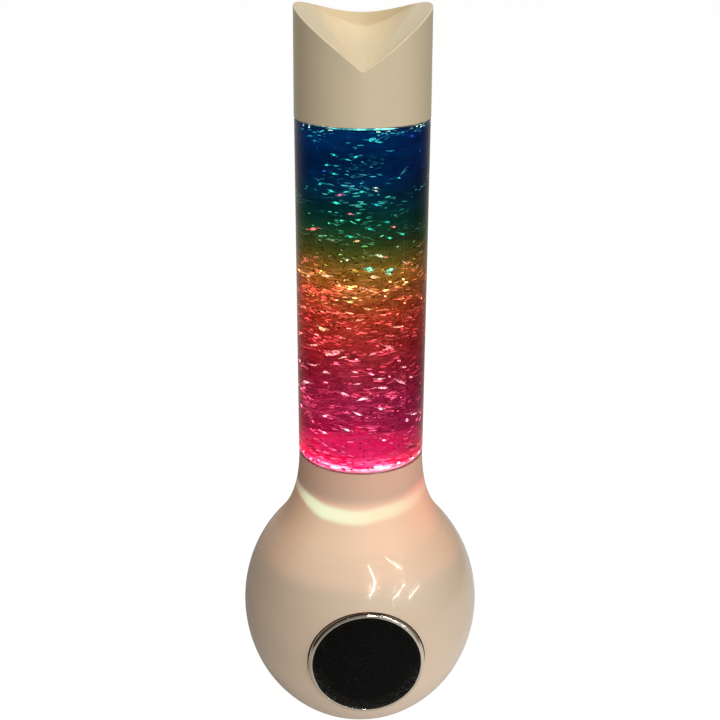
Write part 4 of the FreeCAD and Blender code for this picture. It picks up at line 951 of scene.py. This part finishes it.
for kind, entries in PLACED.items():
    bm, tail = bmesh.new(), bmesh.new()
    for deg, z, length, high, rise in entries:
        mid = math.radians(deg - 90.0)
        sliver(bm, 31.8 if kind == "M" else 31.4, mid, z, length * 0.8, high * 0.9, 0.04, rise, rnd.gauss(0.0, 0.08), 0.12, 6)
        for side in (-1, 1):
            run = side * length * rnd.uniform(0.25, 0.6)
            sliver(tail, 30.9 - 0.3 * side, mid + run / 31.0, z + rise * run + rnd.gauss(0.0, 0.25 * high), length * rnd.uniform(0.6, 1.1),
                   high * rnd.uniform(0.35, 0.65), 0.035, rise + rnd.gauss(0.0, 0.12), rnd.gauss(0.0, 0.1), 0.2, 5)
    label, colour = SPOTS[kind]
    for made, title, k in ((bm, label, 1.0), (tail, label + "_tails", 0.30)):
        bmesh.ops.recalc_face_normals(made, faces=made.faces)
        flakes.append(new_object("glitter_" + title, made, [spot("spot_" + title, tone(colour, k))], "lamp"))

# haze of the finest flakes: a closed sleeve between the outer liquid and the core
liquid_haze = lathe("liquid_haze", [(24.3, 160.6, 0), (24.6, 160.6, 0), (24.6, 340.4, 0), (24.3, 340.4, 0)], [haze("liquid_haze")],
                    segs=128)
for g in flakes + [settled, liquid_haze]:
    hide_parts("glitter_liquid")


# ---- speaker grille -------------------------------------------------------------------------------
def grille():
    """Perforated sheet pressed to a shallow dome, with a plain rim and a skirt behind the trim ring."""
    edge, skirt, rise, front = 29.68, 58.05, 1.6, 64.3
    pitch, hole, thick = 1.30, 0.42, 0.42
    rr = (edge * edge + rise * rise) / (2 * rise)

    def s_of(r):
        return front + rise - rr + math.sqrt(rr * rr - r * r)

    verts, edges, holes = [], [], []
    n_rim = 180
    for k in range(n_rim):
        a = 2 * math.pi * k / n_rim
        verts.append(Vector((edge * math.cos(a), edge * math.sin(a))))
        edges.append((k, (k + 1) % n_rim))
    reach = edge - 0.95
    rows = int(reach / (pitch * 0.866)) + 2
    for j in range(-rows, rows + 1):
        for i in range(-rows * 2, rows * 2 + 1):
            x = (i + 0.5 * (j % 2)) * pitch
            y = j * pitch * math.sqrt(3) / 2
            if math.hypot(x, y) + hole > reach:
                continue
            base = len(verts)
            for k in range(6):
                a = math.pi / 3 * k + math.pi / 6
                verts.append(Vector((x + hole * math.cos(a), y + hole * math.sin(a))))
            edges += [(base + k, base + (k + 1) % 6) for k in range(6)]
            holes.append((x, y, base))
    out_v, out_e, out_f, ov, oe, of = delaunay_2d_cdt(verts, edges, [], 0, 1e-5)
    centres = {(round(x / pitch * 2), round(y / (pitch * math.sqrt(3) / 2))) for x, y, _ in holes}
    bm = bmesh.new()
    front_v = [bm.verts.new((p.x * MM, -s_of(min(p.length, edge)) * MM, (p.y + 55.0) * MM)) for p in out_v]
    back_v = [bm.verts.new((p.x * MM, -(s_of(min(p.length, edge)) - thick) * MM, (p.y + 55.0) * MM)) for p in out_v]
    for f in out_f:
        c = sum((out_v[i] for i in f), Vector((0, 0))) / len(f)
        if c.length > edge:
            continue
        j = round(c.y / (pitch * math.sqrt(3) / 2))
        inside = False
        for jj in (j - 1, j, j + 1):
            yy = jj * pitch * math.sqrt(3) / 2
            off = 0.5 * (jj % 2)
            i = round(c.x / pitch - off)
            xx = (i + off) * pitch
            if math.hypot(c.x - xx, c.y - yy) < hole * 0.9 and (round(xx / pitch * 2), jj) in centres:
                inside = True
        if inside:
            continue
        bm.faces.new([front_v[i] for i in f])
        bm.faces.new([back_v[i] for i in reversed(f)])
    # walls of the holes
    place = {}
    for new_i, olds in enumerate(ov):
        for o in olds:
            place[o] = new_i
    for x, y, base in holes:
        for k in range(6):
            a, b = place[base + k], place[base + (k + 1) % 6]
            bm.faces.new((front_v[a], front_v[b], back_v[b], back_v[a]))
    # rim: over the edge and down the skirt, then back up inside it
    rim = [place[k] for k in range(n_rim)]
    lo = [bm.verts.new((edge * math.cos(2 * math.pi * k / n_rim) * MM, -skirt * MM,
                        (edge * math.sin(2 * math.pi * k / n_rim) + 55.0) * MM)) for k in range(n_rim)]
    inner = [bm.verts.new(((edge - 0.5) * math.cos(2 * math.pi * k / n_rim) * MM, -skirt * MM,
                           ((edge - 0.5) * math.sin(2 * math.pi * k / n_rim) + 55.0) * MM)) for k in range(n_rim)]
    for k in range(n_rim):
        k2 = (k + 1) % n_rim
        bm.faces.new((front_v[rim[k]], front_v[rim[k2]], lo[k2], lo[k]))
        bm.faces.new((lo[k], lo[k2], inner[k2], inner[k]))
        bm.faces.new((inner[k], inner[k2], back_v[rim[k2]], back_v[rim[k]]))
    loose = [v for v in bm.verts if not v.link_faces]
    bmesh.ops.delete(bm, geom=loose, context="VERTS")
    bmesh.ops.recalc_face_normals(bm, faces=bm.faces)
    o = new_object("perforated_grille", bm, [M_MESH], "lamp")
    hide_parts("speaker_grille")
    return o


grille()

# ---- floor, light and air -------------------------------------------------------------------------
def stage_plane(name, size, z, mat, disc=False):
    bm = bmesh.new()
    if disc:
        bmesh.ops.create_circle(bm, cap_ends=True, segments=96, radius=size)
    else:
        bmesh.ops.create_grid(bm, x_segments=1, y_segments=1, size=size)
    for v in bm.verts:
        v.co.z = z
    me = bpy.data.meshes.new(name)
    bm.to_mesh(me)
    bm.free()
    me.materials.append(mat)
    o = bpy.data.objects.new(name, me)
    scene.collection.objects.link(o)
    return o


def floor_mat(name, glow, albedo, fade=None):
    t = Tree(name)
    d = t.add("ShaderNodeBsdfDiffuse")
    t.put(d.inputs[0], t.ramp(t.noise(2.0), [(0.3, tone(albedo, 0.985)), (0.7, albedo)]))
    add = t.add("ShaderNodeAddShader")
    t.nt.links.new(d.outputs[0], add.inputs[0])
    t.nt.links.new(t.emission((1.0, 1.0, 1.0), glow(t)), add.inputs[1])
    t.mat.cycles.emission_sampling = "NONE"
    if fade:
        x, y, z = t.xyz()
        away = t.math("SQRT", t.math("ADD", t.math("MULTIPLY", x, x), t.math("MULTIPLY", y, y)))
        return t.surface(t.blend(t.span(away, *fade), add.outputs[0], t.clear()))
    return t.surface(add.outputs[0])


def uneven(t, axis, from_, to):
    """1 on one side of the object, falling to 0 on the other."""
    return t.span(t.xyz()[axis], from_, to, 1.0, 0.0, smooth=False)


def glow_far(t):
    return t.math("MULTIPLY", uneven(t, 0, -0.6, 0.6), 0.1613)


def glow_near(t):
    front = t.math("MULTIPLY", uneven(t, 1, -0.10, 0.10), 0.0869)
    right = t.math("MULTIPLY", uneven(t, 0, 0.10, -0.10), 0.3665)
    return t.math("ADD", front, right)


# what is seen, and two pale floors below it whose only work is the light that they throw back
seen_floor = stage_plane("floor", 12.0, -0.0001, floor_mat("floor_pale", lambda t: 0.955, (0.20, 0.20, 0.20)))
far = stage_plane("floor_far", 12.0, -0.0004, floor_mat("floor_far_pale", glow_far, (0.30, 0.295, 0.285)))
near = stage_plane("floor_near", 0.55, -0.0002, floor_mat("floor_near_pale", glow_near, (0.45, 0.42, 0.38), (0.20, 0.54)), True)
for o in (seen_floor, far, near):
    o.visible_transmission = False
for o in (far, near):
    o.visible_camera = False
far.visible_glossy = False
seen_floor.visible_glossy = False
seen_floor.visible_diffuse = False
seen_floor.visible_shadow = False

world = bpy.data.worlds.new("studio")
scene.world = world
world.use_nodes = True
wt = world.node_tree
wt.nodes.clear()
w_out = wt.nodes.new("ShaderNodeOutputWorld")
path = wt.nodes.new("ShaderNodeLightPath")
tc = wt.nodes.new("ShaderNodeTexCoord")


def w_math(op, a, b):
    n = wt.nodes.new("ShaderNodeMath")
    n.operation = op
    for k, v in enumerate((a, b)):
        if isinstance(v, bpy.types.NodeSocket):
            wt.links.new(v, n.inputs[k])
        else:
            n.inputs[k].default_value = v
    return n.outputs[0]


def lobe(towards, power, gain):
    """Soft light from one side."""
    n = wt.nodes.new("ShaderNodeVectorMath")
    n.operation = "DOT_PRODUCT"
    wt.links.new(tc.outputs["Generated"], n.inputs[0])
    n.inputs[1].default_value = Vector(towards).normalized()
    return w_math("MULTIPLY", w_math("POWER", w_math("MAXIMUM", n.outputs["Value"], 0.0), power), gain)


# little of the surroundings shows through the bottle
shut = w_math("SUBTRACT", 1.0, w_math("MULTIPLY", path.outputs["Is Transmission Ray"], 0.9))


def air_light(colour, lobes):
    soft = None
    for side, power, gain in lobes:
        part = lobe(side, power, gain)
        soft = part if soft is None else w_math("ADD", soft, part)
    n = wt.nodes.new("ShaderNodeBackground")
    n.inputs[0].default_value = colour + (1,)
    wt.links.new(w_math("MULTIPLY", soft, shut), n.inputs[1])
    return n


behind = air_light((1.0, 0.93, 0.77), (((0, 1, 0), 2.0, 0.479), ((-1, 1, 0.8), 6.0, 0.115)))
ahead = air_light((1.0, 0.975, 0.93), (((0, -1, 0), 2.0, 0.248), ((1, -1, 0.6), 6.0, 0.744), ((1, -0.25, 0.1), 10.0, 0.156)))
air = wt.nodes.new("ShaderNodeAddShader")
wt.links.new(behind.outputs[0], air.inputs[0])
wt.links.new(ahead.outputs[0], air.inputs[1])
seen = wt.nodes.new("ShaderNodeBackground")
seen.inputs[0].default_value = (1.0, 1.0, 1.0, 1)
w_mix = wt.nodes.new("ShaderNodeMixShader")
wt.links.new(path.outputs["Is Camera Ray"], w_mix.inputs[0])
wt.links.new(air.outputs[0], w_mix.inputs[1])
wt.links.new(seen.outputs[0], w_mix.inputs[2])
wt.links.new(w_mix.outputs[0], w_out.inputs[0])


def area(name, where, aim, size, watts):
    d = bpy.data.lights.new(name, "AREA")
    d.shape = "SQUARE"
    d.size = size
    d.energy = watts
    d.color = (1.0, 1.0, 1.0)
    o = bpy.data.objects.new(name, d)
    scene.collection.objects.link(o)
    o.location = where
    o.rotation_mode = "QUATERNION"
    o.rotation_quaternion = (Vector(aim) - Vector(where)).to_track_quat("-Z", "Y")
    o.visible_glossy = False
    o.visible_transmission = False
    o.visible_camera = False
    return o


area("front", (0.2, -1.5, 0.35), (0.0, 0.0, 0.15), 0.8, 9.09)
area("key", (0.95, -1.25, 1.05), (0.0, 0.0, 0.15), 0.9, 1.45)
area("zenith", (0.0, 0.0, 1.3), (0.0, 0.0, 0.1), 0.5, 6.91)


def strip(name, pts, wide, power):
    """Thin glowing strip far off, seen only as its own reflection. pts in metres, wide is its width at each point."""
    t = Tree("strip_" + name)
    bm = bmesh.new()
    pts = [Vector(p) for p in pts]
    rows = []
    for i, p in enumerate(pts):
        along = (pts[min(i + 1, len(pts) - 1)] - pts[max(i - 1, 0)]).normalized()
        side = p.normalized().cross(along).normalized() * wide[i] * 0.5
        rows.append((bm.verts.new(p - side), bm.verts.new(p + side)))
    for a, b in zip(rows, rows[1:]):
        bm.faces.new((a[0], a[1], b[1], b[0]))
    me = bpy.data.meshes.new("strip_" + name)
    bm.to_mesh(me)
    bm.free()
    me.materials.append(t.surface(t.emission((1.0, 0.97, 0.88), power)))
    t.mat.cycles.emission_sampling = "NONE"
    o = bpy.data.objects.new("strip_" + name, me)
    scene.collection.objects.link(o)
    o.visible_camera = False
    o.visible_diffuse = False
    o.visible_transmission = False
    o.visible_shadow = False
    return o


STRIP = 34.0
strip("a", [(0.226, -1.526, 2.114), (0.280, -1.665, 1.997), (0.367, -1.803, 1.853), (0.463, -1.925, 1.697), (0.500, -2.016, 1.571),
            (0.476, -2.129, 1.416), (0.401, -2.235, 1.260), (0.311, -2.313, 1.132), (0.247, -2.378, 0.997)],
      (0.010, 0.040, 0.055, 0.070, 0.080, 0.085, 0.090, 0.080, 0.030), STRIP)
strip("b", [(0.980, -1.220, 2.095), (1.120, -1.264, 1.992), (1.276, -1.286, 1.877), (1.445, -1.302, 1.732), (1.608, -1.276, 1.595)],
      (0.020, 0.055, 0.060, 0.070, 0.040), STRIP * 0.9)
strip("c", [(1.735, -1.539, 1.151), (1.644, -1.656, 1.121), (1.527, -1.817, 1.030), (1.386, -1.979, 0.919), (1.263, -2.098, 0.822)],
      (0.030, 0.055, 0.060, 0.070, 0.060), STRIP * 0.95)
strip("d", [(2.123, -1.219, 0.804), (2.011, -1.425, 0.752), (1.893, -1.602, 0.698), (1.790, -1.739, 0.637)],
      (0.020, 0.050, 0.055, 0.045), STRIP * 0.9)
strip("e", [(1.434, -0.806, 2.027), (1.563, -0.799, 1.927), (1.721, -0.757, 1.800)], (0.02, 0.05, 0.02), STRIP * 0.3)
strip("f", [(-1.115, -1.278, 1.987), (-1.079, -1.328, 1.974)], (0.04, 0.04), STRIP * 0.5)
strip("g", [(-1.383, -1.938, 1.016), (-1.346, -1.976, 0.993)], (0.03, 0.03), STRIP * 0.3)

# ---- render look ----------------------------------------------------------------------------------
scene.view_settings.view_transform = "Standard"
scene.view_settings.look = "None"
scene.view_settings.exposure = 0.0
scene.view_settings.gamma = 1.0
scene.cycles.max_bounces = 16
scene.cycles.diffuse_bounces = 3
scene.cycles.glossy_bounces = 4
scene.cycles.transmission_bounces = 12
scene.cycles.transparent_max_bounces = 64
scene.cycles.caustics_reflective = False
scene.cycles.caustics_refractive = False
scene.cycles.sample_clamp_indirect = 6.0
scene.cycles.seed = 3
